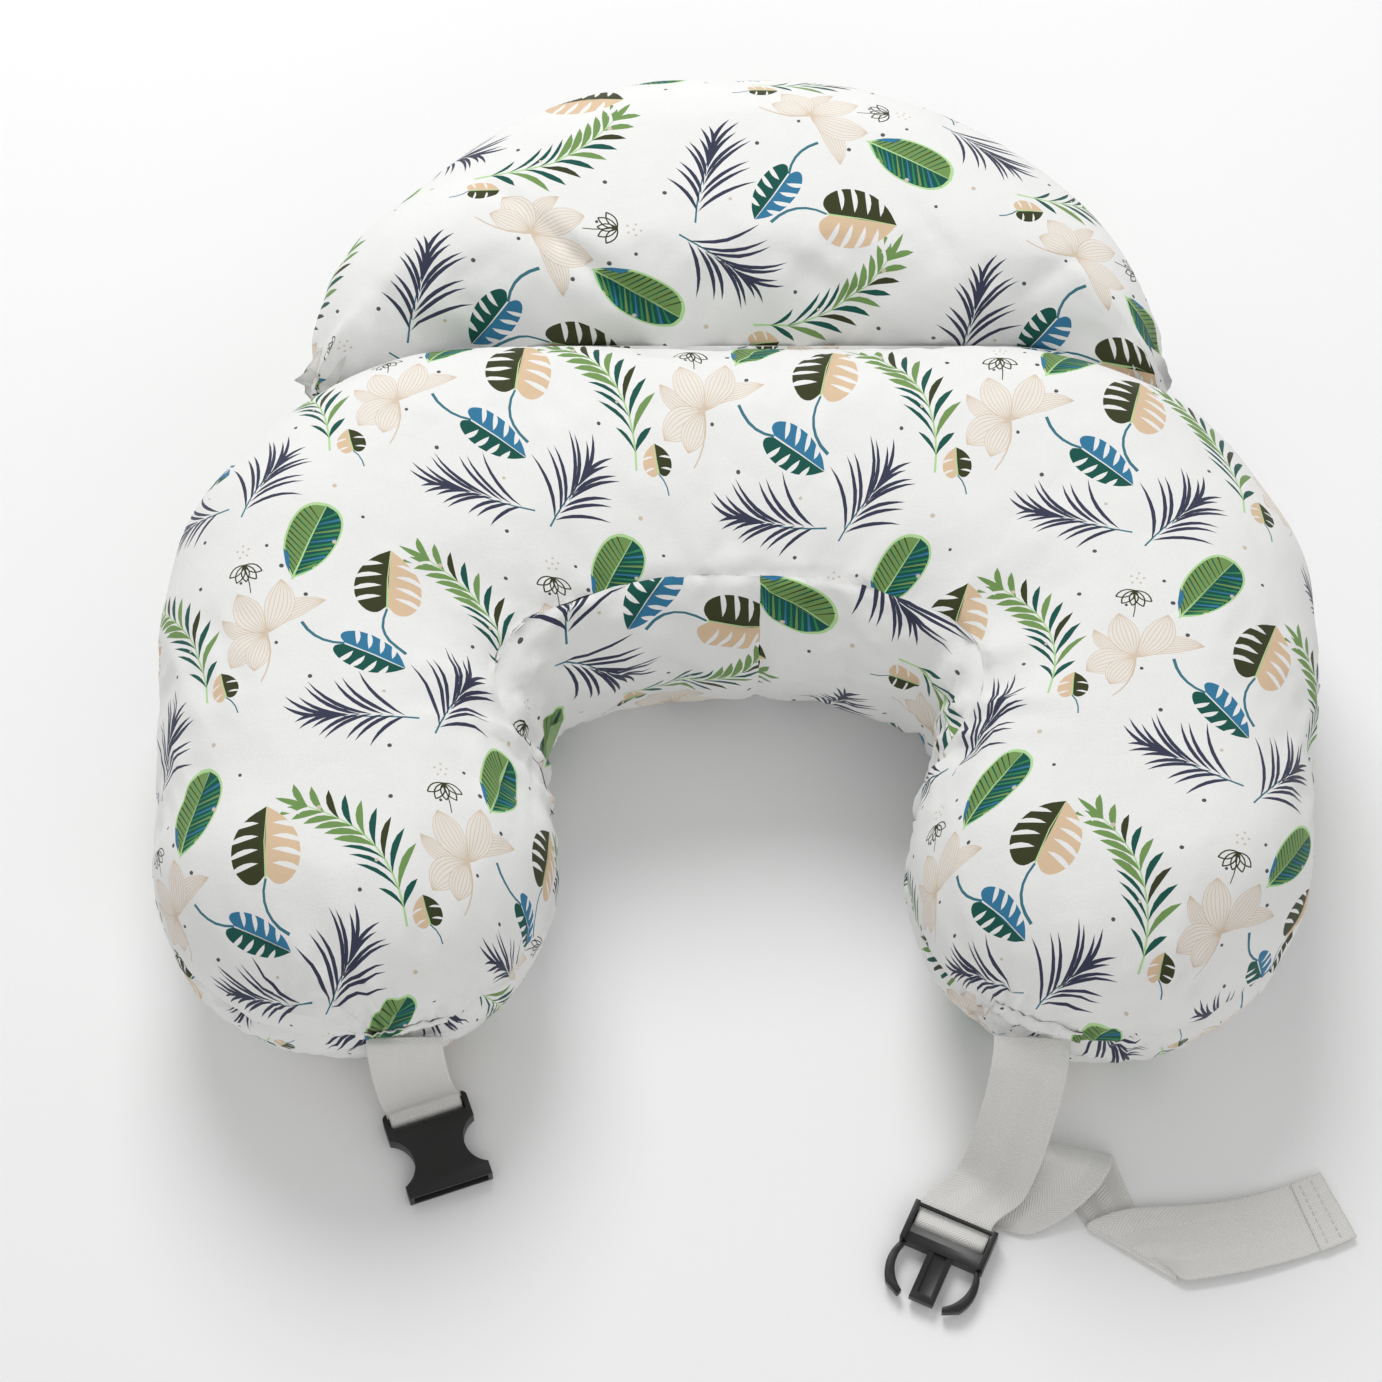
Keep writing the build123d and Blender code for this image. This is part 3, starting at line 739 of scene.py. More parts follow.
def cover_panel(name, node, body, cushion, number, boundary, origin, turn=0, shape=None, holes=(),
                deep=None, drawn=None):
    """A printed panel of the cover: the print is cut into its mesh, and its edges fold in."""
    low, high = boundary.min(0), boundary.max(0)
    shapes = print_shapes(low, high, np.array(origin, float), turn, drawn)
    flat, tris, inks = triangulate(boundary, PITCH, shapes, holes)
    place, normal = cushion.at(number, flat)
    if (vertex_normals(place, tris) * normal).sum() < 0:
        tris = tris[:, ::-1]
    verts, normals, uv = [place], [normal], [flat]
    faces, face_inks = tris.tolist(), [inks]
    at = len(flat)
    for ring in (boundary, *holes):
        edge, edge_n = cushion.at(number, ring)
        fold = HOLE_FOLD
        if ring is boundary:
            fold = SEAM_FOLD if deep is None else np.where(deep, ZIP_FOLD, SEAM_FOLD)[:, None]
        n = len(ring)
        verts += [edge, edge - edge_n * fold]
        normals += [edge_n, edge_n]
        uv += [ring, ring]
        faces += [[at + i, at + (i + 1) % n, at + n + (i + 1) % n, at + n + i] for i in range(n)]
        face_inks.append(np.zeros(n, int))
        at += 2 * n
    verts, normals, uv = np.concatenate(verts), np.concatenate(normals), np.concatenate(uv)
    if shape is not None:
        verts = shape(verts)
    obj = make_object(name, verts, faces, COTTON, uv, np.concatenate(face_inks), normals)
    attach(obj, body)
    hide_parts(node)
    return obj


# ---------------------------------------------------------------- materials
class Finish:
    """A procedural material in the making."""

    def __init__(self, name, colour, roughness, coordinates=None):
        self.material = bpy.data.materials.new(name)
        self.material.use_nodes = True
        self.nodes, self.links = self.material.node_tree.nodes, self.material.node_tree.links
        self.shader = self.nodes["Principled BSDF"].inputs
        self.set("Base Color", (*linear(colour), 1))
        self.set("Roughness", roughness)
        if coordinates == "cloth":
            source = self.nodes.new("ShaderNodeUVMap")
            source.uv_map = coordinates
            self.place = source.outputs[0]
        elif coordinates:
            self.place = self.nodes.new("ShaderNodeTexCoord").outputs[coordinates]

    def set(self, socket, value):
        self.shader[socket].default_value = value

    def axes(self):
        split = self.nodes.new("ShaderNodeSeparateXYZ")
        self.links.new(self.place, split.inputs[0])
        return split.outputs

    def math(self, operation, *values):
        node = self.nodes.new("ShaderNodeMath")
        node.operation = operation
        for socket, value in zip(node.inputs, values):
            if isinstance(value, (int, float)):
                socket.default_value = value
            else:
                self.links.new(value, socket)
        return node.outputs[0]

    def sum(self, base, *terms):
        """The base plus each output times its weight."""
        total = base
        for output, weight in terms:
            total = self.math("ADD", self.math("MULTIPLY", output, weight), total)
        return total

    def noise(self, scale, detail):
        node = self.nodes.new("ShaderNodeTexNoise")
        node.inputs["Scale"].default_value = scale
        node.inputs["Detail"].default_value = detail
        self.links.new(self.place, node.inputs["Vector"])
        return node.outputs[0]

    def weave(self, u, v, pitch):
        """Height of plain-woven threads at a pitch in metres."""
        waves = [self.math("SINE", self.math("MULTIPLY", w, TAU / pitch)) for w in (u, v)]
        return self.math("MULTIPLY", *waves)

    def twill(self, u, v, pitch, stripe):
        """Height of twill lines that turn back at each stripe."""
        slant = self.math("ADD", self.math("PINGPONG", u, stripe), v)
        return self.math("SINE", self.math("MULTIPLY", slant, TAU / pitch))

    def tint(self, shade, colour):
        """The base colour: a colour, or an output with one, darkened by the shade."""
        node = self.nodes.new("ShaderNodeVectorMath")
        node.operation = "SCALE"
        if isinstance(colour, tuple):
            node.inputs[0].default_value = linear(colour)
        else:
            self.links.new(colour, node.inputs[0])
        self.links.new(shade, node.inputs["Scale"])
        self.links.new(node.outputs[0], self.shader["Base Color"])

    def bump(self, height, strength, distance):
        node = self.nodes.new("ShaderNodeBump")
        node.inputs["Strength"].default_value = strength
        node.inputs["Distance"].default_value = distance
        self.links.new(height, node.inputs["Height"])
        self.links.new(node.outputs[0], self.shader["Normal"])


def cotton_material():
    f = Finish("printed_cotton", INKS["cloth"], 0.82, "cloth")
    ink = f.nodes.new("ShaderNodeVertexColor")
    ink.layer_name = "ink"
    u, v, _ = f.axes()
    weave, cloud, slub = f.weave(u, v, 0.0008), f.noise(55.0, 4.0), f.noise(900.0, 3.0)
    f.tint(f.sum(0.925, (cloud, 0.05), (slub, 0.10), (weave, 0.02)), ink.outputs[0])
    crease = f.math("ABSOLUTE", f.math("SUBTRACT", f.noise(17.0, 2.0), 0.5))
    f.bump(f.sum(0.0, (weave, 0.35), (slub, 1.2), (cloud, 6.0), (crease, 22.0)), 0.35, 0.0004)
    f.set("Sheen Weight", 0.12)
    f.set("Sheen Roughness", 0.5)
    f.set("Specular IOR Level", 0.25)
    return f.material


def webbing_material():
    f = Finish("webbing", (0.80, 0.795, 0.78), 0.6, "cloth")
    u, v, _ = f.axes()
    twill, fuzz, cloud = f.twill(u, v, 0.0016, 0.0095), f.noise(1400.0, 3.0), f.noise(40.0, 2.0)
    f.tint(f.sum(0.90, (twill, 0.06), (fuzz, 0.12), (cloud, 0.05)), (0.90, 0.895, 0.88))
    f.bump(f.sum(twill, (fuzz, 0.6)), 0.5, 0.0003)
    f.set("Sheen Weight", 0.25)
    return f.material


def plastic_material():
    f = Finish("buckle_plastic", (0.085, 0.085, 0.083), 0.38, "Object")
    grain, wear = f.noise(2600.0, 2.0), f.noise(130.0, 3.0)
    f.links.new(f.sum(0.22, (wear, 0.22), (grain, 0.12)), f.shader["Roughness"])
    f.bump(grain, 0.3, 0.0001)
    f.set("Specular IOR Level", 0.5)
    return f.material


def simple_cloth_material(name, colour, pitch):
    f = Finish(name, colour, 0.85, "Object")
    x, y, z = f.axes()
    weave, fuzz = f.weave(x, f.math("ADD", y, z), pitch), f.noise(700.0, 4.0)
    f.tint(f.sum(0.92, (weave, 0.05), (fuzz, 0.14)), colour)
    f.bump(f.math("ADD", weave, fuzz), 0.4, 0.0003)
    return f.material


def enamel_material():
    colour = (0.86, 0.86, 0.85)
    f = Finish("zip_metal", colour, 0.3, "Object")
    wear = f.noise(900.0, 3.0)
    f.tint(f.sum(0.93, (wear, 0.12)), colour)
    f.bump(wear, 0.15, 0.0001)
    f.set("Coat Weight", 0.4)
    return f.material


COTTON, WEBBING, PLASTIC = cotton_material(), webbing_material(), plastic_material()
LINER = simple_cloth_material("liner_fabric", (0.93, 0.93, 0.92), 0.0012)
TAPE = simple_cloth_material("zip_tape", (0.92, 0.92, 0.905), 0.0009)
COIL = simple_cloth_material("zip_coil", (0.93, 0.93, 0.92), 0.0016)
ENAMEL = enamel_material()
THREAD = simple_cloth_material("thread", (0.90, 0.895, 0.88), 0.0006)

# ---------------------------------------------------------------- U cushion
SEAM_Z = 82.0
U_BACK_Y, U_BACK_ROUND, ARM_END_Y = 100, 165, -277
u_line = Outline(rounded([
    (300, U_BACK_Y, U_BACK_ROUND), (-300, U_BACK_Y, U_BACK_ROUND), (-293, ARM_END_Y, 98),
    (-78, ARM_END_Y, 96), (-101, -98, 25), (-42, -76, 110), (42, -76, 110), (101, -98, 25),
    (78, ARM_END_Y, 96), (293, ARM_END_Y, 98),
]))
u_top = Profile(SEAM_Z, 77.0, 86.0, 2.25)
u_low = Profile(SEAM_Z, -82.0, 56.0, 2.2)
ARCH = float(u_line.nearest(np.array([[0.0, -76.0]]))[3][0])
WALL_TOP, WALL_LOW = u_top.arc_at_height(142), u_low.arc_at_height(22)


def from_arch(arc):
    """Distance along the opening's edge from the middle of its closed end."""
    return (np.asarray(arc) - ARCH + u_line.length / 2) % u_line.length - u_line.length / 2


WALL_FULL, WALL_FADE, WALL_SPLIT = 100, 70, 10.0


def wall_height(full):
    """The inner wall's height over the arc: full round the arch, then down to nothing along the arms."""
    def height(arc):
        t = np.clip((np.abs(from_arch(arc)) - WALL_FULL) / WALL_FADE, 0, 1)
        return full * 0.5 * (1 + np.cos(np.pi * t)) * (t < 1)
    return height


u_top_seam, u_low_seam = wall_height(WALL_TOP), wall_height(WALL_LOW)


def no_seam(arc):
    return np.zeros(len(arc))


def cap_panel(outline, profile, seam):
    """An upper or lower panel, sewn at arc seam(position) up the profile."""
    def gap(q):
        _, _, dist, arc = outline.nearest(q)
        return np.maximum(dist + profile.extra - seam(arc), 0)
    return Panel(cap_boundary(outline, profile, seam, 2), cap_place(outline, profile), gap)


def wall_gap(q):
    arc = q[:, 0] + ARCH
    edge = np.minimum(u_top_seam(arc) - q[:, 1], q[:, 1] + u_low_seam(arc))
    return np.maximum(np.minimum(edge, np.abs(q[:, 0] - WALL_SPLIT)), 0)


def wall_boundary(sign, step):
    """Flat outline of one half of the inner wall."""
    end = WALL_FULL + WALL_FADE
    near = from_arch(np.arange(0, len(u_line.p)) * u_line.step)
    near = near[((near - WALL_SPLIT) * sign > 0.5 * step) & (np.abs(near) < end)]
    near = near[np.argsort(np.abs(near - WALL_SPLIT))][:: max(1, int(round(step / u_line.step)))]
    top = np.stack([near, u_top_seam(near + ARCH)], 1)
    low = np.stack([near, -u_low_seam(near + ARCH)], 1)
    count = int((WALL_TOP + WALL_LOW) / step)
    seam = np.stack([np.full(count + 1, WALL_SPLIT), np.linspace(-WALL_LOW, WALL_TOP, count + 1)], 1)
    return np.concatenate([top, [[sign * end, 0.0]], low[::-1], seam])


def soft_waves(points, count, shortest, longest, seed):
    """Smooth irregular heights about zero, from a few seeded waves."""
    own = np.random.default_rng(seed)
    total = np.zeros(len(points))
    for _ in range(count):
        direction = own.normal(size=3)
        direction /= np.linalg.norm(direction)
        k = TAU / own.uniform(shortest, longest)
        total += np.sin(points @ direction * k + own.uniform(0, TAU))
    return total / math.sqrt(count)


SHORT_ROOT_X, LONG_ROOT_X = -167.0, 144.5
U_CROWN, MOON_CROWN = 158.5, 139.5


def ridges(phase, sharp):
    """Soft ridges between sharp creases, from 1 down to -1 or a little lower."""
    return 1 - 2 * np.abs(np.sin(phase)) ** sharp


SEAM_DEPTH, SEAM_WIDTH = 2.0, 3.2


def beside_seam(gap, reach):
    """1 just inside a seam, fading out over the reach."""
    return np.exp(-gap / reach) * np.clip(gap / 3, 0, 1)


def gather(points, spot, reach, depth, seed, tilt):
    """Wrinkles that fan out of a sewn point, seen along a direction that is tilted in the y and z plane."""
    own = np.random.default_rng(seed)
    d = points - np.array(spot)
    dist = np.linalg.norm(d, axis=1)
    angle = np.arctan2(d @ np.array(tilt[0]), d @ np.array(tilt[1]))
    wave = np.zeros(len(points))
    for k in range(3):
        swing = angle * (15 + 2 * k) / 2 + own.uniform(0, TAU) + dist * own.uniform(-0.015, 0.015)
        wave += 1 - 1.6 * np.abs(np.sin(swing)) ** 0.7
    return depth * wave / 1.7 * np.exp(-dist / reach) * np.clip(dist / 24, 0, 1)


def seam_relief(arc, gap, pitch, slow, fast, mean, swing, beat, start, reach, height):
    """The valley along a seam, and beside it the puckers, whose pitch and strength wander along it."""
    phase = arc / pitch + slow[0] * np.sin(arc / slow[1]) + fast[0] * np.sin(arc / fast[1] + 1)
    strength = mean + swing * np.sin(arc / beat + start)
    valley = SEAM_DEPTH * np.exp(-(gap / SEAM_WIDTH) ** 2)
    return height * strength * np.sin(phase) * beside_seam(gap, reach) - valley


def settled(verts, normals, height, crown):
    """The wrinkled shape, pressed flat where it lies on the floor and held in at its crown."""
    height = np.where(verts[:, 2] < 4, np.minimum(height, 0) * 0.3, height)
    out = verts + normals * height[:, None]
    over = np.maximum(out[:, 2] - crown, 0)
    out[:, 2] -= 0.65 * over
    return out


def u_wrinkles(verts, normals, gap):
    x, y, z = verts.T
    arc = u_line.nearest(verts[:, :2].copy())[3]
    near = from_arch(arc)
    height = 1.3 * soft_waves(verts, 9, 60, 140, 3) * np.clip(gap / 20, 0, 1)
    height += seam_relief(arc, gap, pitch=8.5, slow=(2.4, 47), fast=(1.6, 23), mean=0.75, swing=0.45,
                          beat=61, start=2, reach=15, height=1.4)
    corner = np.exp(-((np.abs(near) - 122) / 42) ** 2) * np.exp(-np.maximum(gap - 4, 0) / 34)
    creases = ridges(near / 5.4 + 0.7 * np.sin(z / 14) + 0.9 * np.sin(near / 17), 0.8)
    height += 3.4 * corner * creases * np.clip(gap / 3, 0, 1) * (z > 5)
    for root, seed in ((SHORT_ROOT_X, 5), (LONG_ROOT_X, 6)):
        height += gather(verts, (root, ARM_END_Y, SEAM_Z + 4), 44, 5.0, seed, ((1, 0, 0), (0, 0.5, 0.85)))
    for spot_x, spot_y, seed, depth in ((-101, -98, 8, 2.4), (101, -98, 9, 2.4), (-110, -272, 10, 2.4),
                                        (60, -272, 12, 2.4), (-235, -272, 13, 2.7), (215, -272, 14, 2.7)):
        height += gather(verts, (spot_x, spot_y, SEAM_Z + 20), 40, depth, seed, ((1, 0, 0), (0, 0.6, 0.8)))
    tuck = np.exp(-((x - 8 + 0.12 * (y + 20)) / 6) ** 2) * np.clip((z - 90) / 30, 0, 1)
    height -= 1.4 * tuck * np.exp(-np.maximum(y + 20, 0) / 70) * (y > -90)
    fold = np.exp(-((x - 52 - 0.25 * (y + 40)) / 5) ** 2) * np.clip((z - 100) / 30, 0, 1)
    height -= 1.0 * fold * np.exp(-np.abs(y + 20) / 50)
    back = np.clip((y - 40) / 50, 0, 1) * (z > SEAM_Z)
    height += 0.7 * back * np.sin(x / 9 + 1.7 * np.sin(x / 31)) * np.exp(-gap / 30)
    return settled(verts, normals, height, U_CROWN)


print("building the U cushion")
wall_on_u = wall_place(u_line, u_top, u_low, ARCH)
u_cushion = Cushion([
    cap_panel(u_line, u_top, u_top_seam), cap_panel(u_line, u_low, u_low_seam),
    Panel(wall_boundary(-1, 6.0), wall_on_u, wall_gap), Panel(wall_boundary(1, 6.0), wall_on_u, wall_gap),
], cap=5.0, smooth_rounds=2, wrinkle=u_wrinkles)

# ---------------------------------------------------------------- half-moon cushion
MOON_SEAM_Z, MOON_HALF, MOON_REAR = 74.0, 227.0, 276.0
CREASE_GAP, BACK_STRAIGHT = 2.4, 135.0
MOON_SIDE_Y, MOON_SIDE_ROUND = 92.0, 150.0


def behind_u(x, gap):
    """The y of the line at a gap behind the U's back, which is straight in the middle and then round."""
    over = np.maximum(np.abs(x) - BACK_STRAIGHT, 0.0)
    round_y = U_BACK_Y - U_BACK_ROUND + np.sqrt(np.maximum((U_BACK_ROUND + gap) ** 2 - over ** 2, 0))
    return np.where(over == 0, U_BACK_Y + gap, round_y)


def moon_points():
    """Counter-clockwise: along the front, a little behind the U's back, then round the dome."""
    across = np.arange(-MOON_HALF, MOON_HALF + 1, 4.0)
    front = np.stack([across, behind_u(across, CREASE_GAP)], 1)
    reach, rise = MOON_HALF - MOON_SIDE_ROUND, MOON_REAR - MOON_SIDE_Y
    radius = (reach ** 2 + rise ** 2 - MOON_SIDE_ROUND ** 2) / (2 * (rise - MOON_SIDE_ROUND))
    dome_y = MOON_REAR - radius
    join = math.atan2(MOON_SIDE_Y - dome_y, reach)

    def arc(x, y, size, first, last, count):
        a = np.linspace(first, last, count)
        return np.stack([x + size * np.cos(a), y + size * np.sin(a)], 1)

    right = arc(reach, MOON_SIDE_Y, MOON_SIDE_ROUND, 0, join, 24)
    dome = arc(0, dome_y, radius, join, math.pi - join, 70)[1:-1]
    return resample(np.concatenate([front, right, dome, (right * [-1, 1])[::-1]]), 3.0)


m_line = Outline(soften(moon_points(), 4.5, 3.0))
m_top = Profile(MOON_SEAM_Z, 66.0, 80.0, 2.35)
m_low = Profile(MOON_SEAM_Z, -74.0, 56.0, 2.2)


def m_wrinkles(verts, normals, gap):
    x, y, z = verts.T
    arc = m_line.nearest(verts[:, :2].copy())[3]
    height = 1.6 * soft_waves(verts, 9, 55, 120, 21) * np.clip(gap / 20, 0, 1)
    height += seam_relief(arc, gap, pitch=8.0, slow=(2.2, 41), fast=(1.5, 19), mean=0.8, swing=0.5,
                          beat=53, start=0, reach=17, height=1.5)
    front = np.exp(-np.maximum(y - 108, 0) / 42) * (z > MOON_SEAM_Z) * np.clip((y - 100) / 10, 0, 1)
    slant = x + 0.55 * (y - 100) * np.sign(x)
    height += 1.8 * front * ridges(slant / 19 + 1.3 * np.sin(slant / 37), 0.8)
    for side, seed in ((-1, 31), (1, 32)):
        height += gather(verts, (side * 222, 84, 84), 52, 2.08, seed, ((0, 1, 0), (0, 0, 1)))
    for x0, y0, x1, y1, depth, wide in (
        (-150, 200, -52, 116, 4.0, 5), (-128, 168, -36, 112, 3.2, 4.5), (-100, 214, -96, 122, 2.4, 5),
        (70, 200, 128, 118, 2.8, 5), (10, 150, 84, 112, 2.2, 5), (-196, 130, -150, 100, 2.4, 4.5),
        (190, 150, 130, 112, 2.6, 5),
    ):
        d = np.array([x1 - x0, y1 - y0], float)
        size = np.linalg.norm(d)
        d /= size
        t = np.clip(((verts[:, :2] - [x0, y0]) @ d) / size, 0, 1)
        side = (verts[:, :2] - [x0, y0]) @ left_of(d)
        height -= depth * np.exp(-(side / wide) ** 2) * np.sin(np.pi * t) * (z > 80)
    return settled(verts, normals, height, MOON_CROWN)


print("building the half-moon")
m_cushion = Cushion([
    cap_panel(m_line, m_top, no_seam), cap_panel(m_line, m_low, no_seam),
], cap=6.0, smooth_rounds=5, wrinkle=m_wrinkles)

# ---------------------------------------------------------------- printed covers
print("cutting the print")
ZIP_HALF, ZIP_Y, ZIP_ROOM = 152.0, 24.0, 5.5
zip_hole = np.array([(-ZIP_HALF, ZIP_Y - ZIP_ROOM), (ZIP_HALF, ZIP_Y - ZIP_ROOM),
                     (ZIP_HALF, ZIP_Y + ZIP_ROOM), (-ZIP_HALF, ZIP_Y + ZIP_ROOM)])
MAIN_ORIGIN, MOON_ORIGIN = (46, 62), (65, 162)
cover_panel("main_cover_upper", "main_cover_top", "main_cushion", u_cushion, 0,
            cap_boundary(u_line, u_top, u_top_seam, 1), MAIN_ORIGIN, 0, lean, drawn=drawn_main)
cover_panel("main_cover_lower", "main_cover_bottom", "main_cushion", u_cushion, 1,
            cap_boundary(u_line, u_low, u_low_seam, 1), (12, 20), 0, lean, [zip_hole])
for side, number, sign, origin in (("left", 2, -1, (-1, 40)), ("right", 3, 1, (139, 88))):
    cover_panel(f"inner_wall_panel_{side}", f"inner_wall_{side}", "main_cushion", u_cushion, number,
                wall_boundary(sign, 3.0), origin, -95, lean)

# the half-moon's rear zip: its two covers stop short of each other over the zip, which follows an arc
ZIP_REACH, ZIP_RISE, ZIP_SIDE, ZIP_ANGLE = 66, 185, 160, 35.0
ZIP_CENTRE_Y = 275 - (ZIP_REACH ** 2 + ZIP_RISE ** 2 - ZIP_SIDE ** 2) / (2 * (ZIP_RISE - ZIP_SIDE))


def zip_gap(arc):
    foot, _ = m_line.at(arc)
    angle = np.degrees(np.arctan2(foot[:, 1] - ZIP_CENTRE_Y, foot[:, 0]))
    t = np.clip((ZIP_ANGLE - np.abs(angle - 90)) / 1.5, 0, 1) * (foot[:, 1] > 150)
    return 5.0 * t * t * (3 - 2 * t)


over_zip = zip_gap(np.arange(len(m_line.p)) * m_line.step) > 0.5
cover_panel("back_cover_upper", "back_cover_top", "back_cushion", m_cushion, 0,
            cap_boundary(m_line, m_top, zip_gap, 1), MOON_ORIGIN, -90, deep=over_zip, drawn=drawn_back)
cover_panel("back_cover_lower", "back_cover_bottom", "back_cushion", m_cushion, 1,
            cap_boundary(m_line, m_low, zip_gap, 1), (30, 150), -90, deep=over_zip)


LINER_DEPTH = 12.0


def inner_bag(name, cushion, body, nodes, shape=None):
    """The liner with its filling, just inside the cover."""
    verts = cushion.coarse - vertex_normals(cushion.coarse, cushion.coarse_tris) * LINER_DEPTH
    if shape is not None:
        verts = shape(verts)
    obj = make_object(name, verts, cushion.coarse_tris, LINER)
    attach(obj, body)
    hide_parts(*nodes)


inner_bag("main_inner_cushion", u_cushion, "main_cushion", ("main_liner", "main_fibre_fill"), lean)
inner_bag("back_inner_cushion", m_cushion, "back_cushion", ("back_liner", "back_fibre_fill"))


# ---------------------------------------------------------------- webbing
def frames(stations, count):
    """Smooth stations: centre, width direction, surface normal and width."""
    centre = smooth_path([s[0] for s in stations], count)
    across = smooth_path([s[1] for s in stations], count)
    normal = smooth_path([s[2] for s in stations], count)
    width = smooth_path([[s[3], 0, 0] for s in stations], count)[:, 0]
    across /= np.linalg.norm(across, axis=1)[:, None]
    normal -= across * (normal * across).sum(1)[:, None]
    normal /= np.linalg.norm(normal, axis=1)[:, None]
    return centre, across, normal, width


RIBBON_SHARES = (-0.5, -0.485, -0.46, -0.44, -0.3, -0.15, 0, 0.15, 0.3, 0.44, 0.46, 0.485, 0.5)
RIBBON_HALVES = np.array([0.55, 0.95, 1.12, 0.98, 1, 1, 1, 1, 1, 0.98, 1.12, 0.95, 0.55]) * 0.65


def ribbon(name, body, stations, *nodes):
    """Webbing of real thickness along its stations, with slightly thicker woven edges."""
    centre, across, normal, width = frames(stations, 7)
    run = np.concatenate([[0], np.cumsum(np.linalg.norm(np.diff(centre, axis=0), axis=1))])
    section = [(share, half) for share, half in zip(RIBBON_SHARES, RIBBON_HALVES)]
    section += [(share, -half) for share, half in section[::-1]]
    verts, uv = [], []
    for c, a, n, w, v in zip(centre, across, normal, width, run):
        verts += [c + a * share * w + n * half for share, half in section]
        uv += [(share * w + WIDE / 2, v) for share, _ in section]
    faces = tube_faces(len(centre), len(section), 0)
    obj = make_object(name, verts, faces, WEBBING, uv)
    if body:
        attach(obj, body)
    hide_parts(*nodes)
    return obj


def tube_faces(rings, size, first):
    """Faces of a closed tube: its rings of vertices follow each other from the first."""
    faces = []
    for i in range(rings - 1):
        at, above = first + i * size, first + (i + 1) * size
        faces += [(at + k, above + k, above + (k + 1) % size, at + (k + 1) % size) for k in range(size)]
    last = first + (rings - 1) * size
    return faces + [[first + k for k in range(size)], [last + k for k in range(size - 1, -1, -1)]]


def yawed(angle, dip=0.0):
    a = math.radians(angle)
    return (math.cos(a), math.sin(a), dip)


def in_frame(origin, yaw, x, y, z):
    """A point given in a buckle half's own frame."""
    a = math.radians(yaw)
    return (origin[0] + x * math.cos(a) - y * math.sin(a), origin[1] + x * math.sin(a) + y * math.cos(a),
            origin[2] + z)


WIDE = 38.0
SOCKET, SOCKET_YAW = (-160.5, -286.8, 5.2), 19.0
PLUG, PLUG_YAW = (106.5, -351.5, 5.2), -24.0
LOOP_R = 3.35
NOWHERE = (0, 0, 0)


def loop_stations(origin, yaw):
    """Webbing round a bar: in over the top, round the front, out underneath."""
    stations = []
    for angle in range(90, -91, -30):
        y, z = -math.cos(math.radians(angle)), math.sin(math.radians(angle))
        stations.append((in_frame(origin, yaw, 0, y * LOOP_R, z * LOOP_R), yawed(yaw),
                         in_frame(NOWHERE, yaw, 0, y, z), WIDE))
    return stations


short_stations = [
    ((-167, -275.5, 82.8), yawed(1), (0, -0.6, 0.8), WIDE),
    ((-167, -279.6, 81.0), yawed(2), (0, -1, 0.5), WIDE),
    ((-166.4, -283.0, 70), yawed(5), (0, -1, 0.15), WIDE),
    ((-165.4, -285.2, 52), yawed(9), (0, -1, 0.06), WIDE),
    ((-164, -286.2, 34), yawed(14), (0, -1, 0.05), WIDE),
    ((-162.3, -285.8, 19), yawed(18), (0, -1, 0.1), WIDE),
    (in_frame(SOCKET, SOCKET_YAW, 0, 2.6, 5.6), yawed(SOCKET_YAW),
     in_frame(NOWHERE, SOCKET_YAW, 0, -0.6, 0.8), WIDE),
] + loop_stations(SOCKET, SOCKET_YAW) + [
    (in_frame(SOCKET, SOCKET_YAW, 0, 3.4, -3.3), yawed(SOCKET_YAW), (0, 0, -1), WIDE),
]
short_strap = ribbon("short_strap_webbing", "short_strap", short_stations, "left_strap")

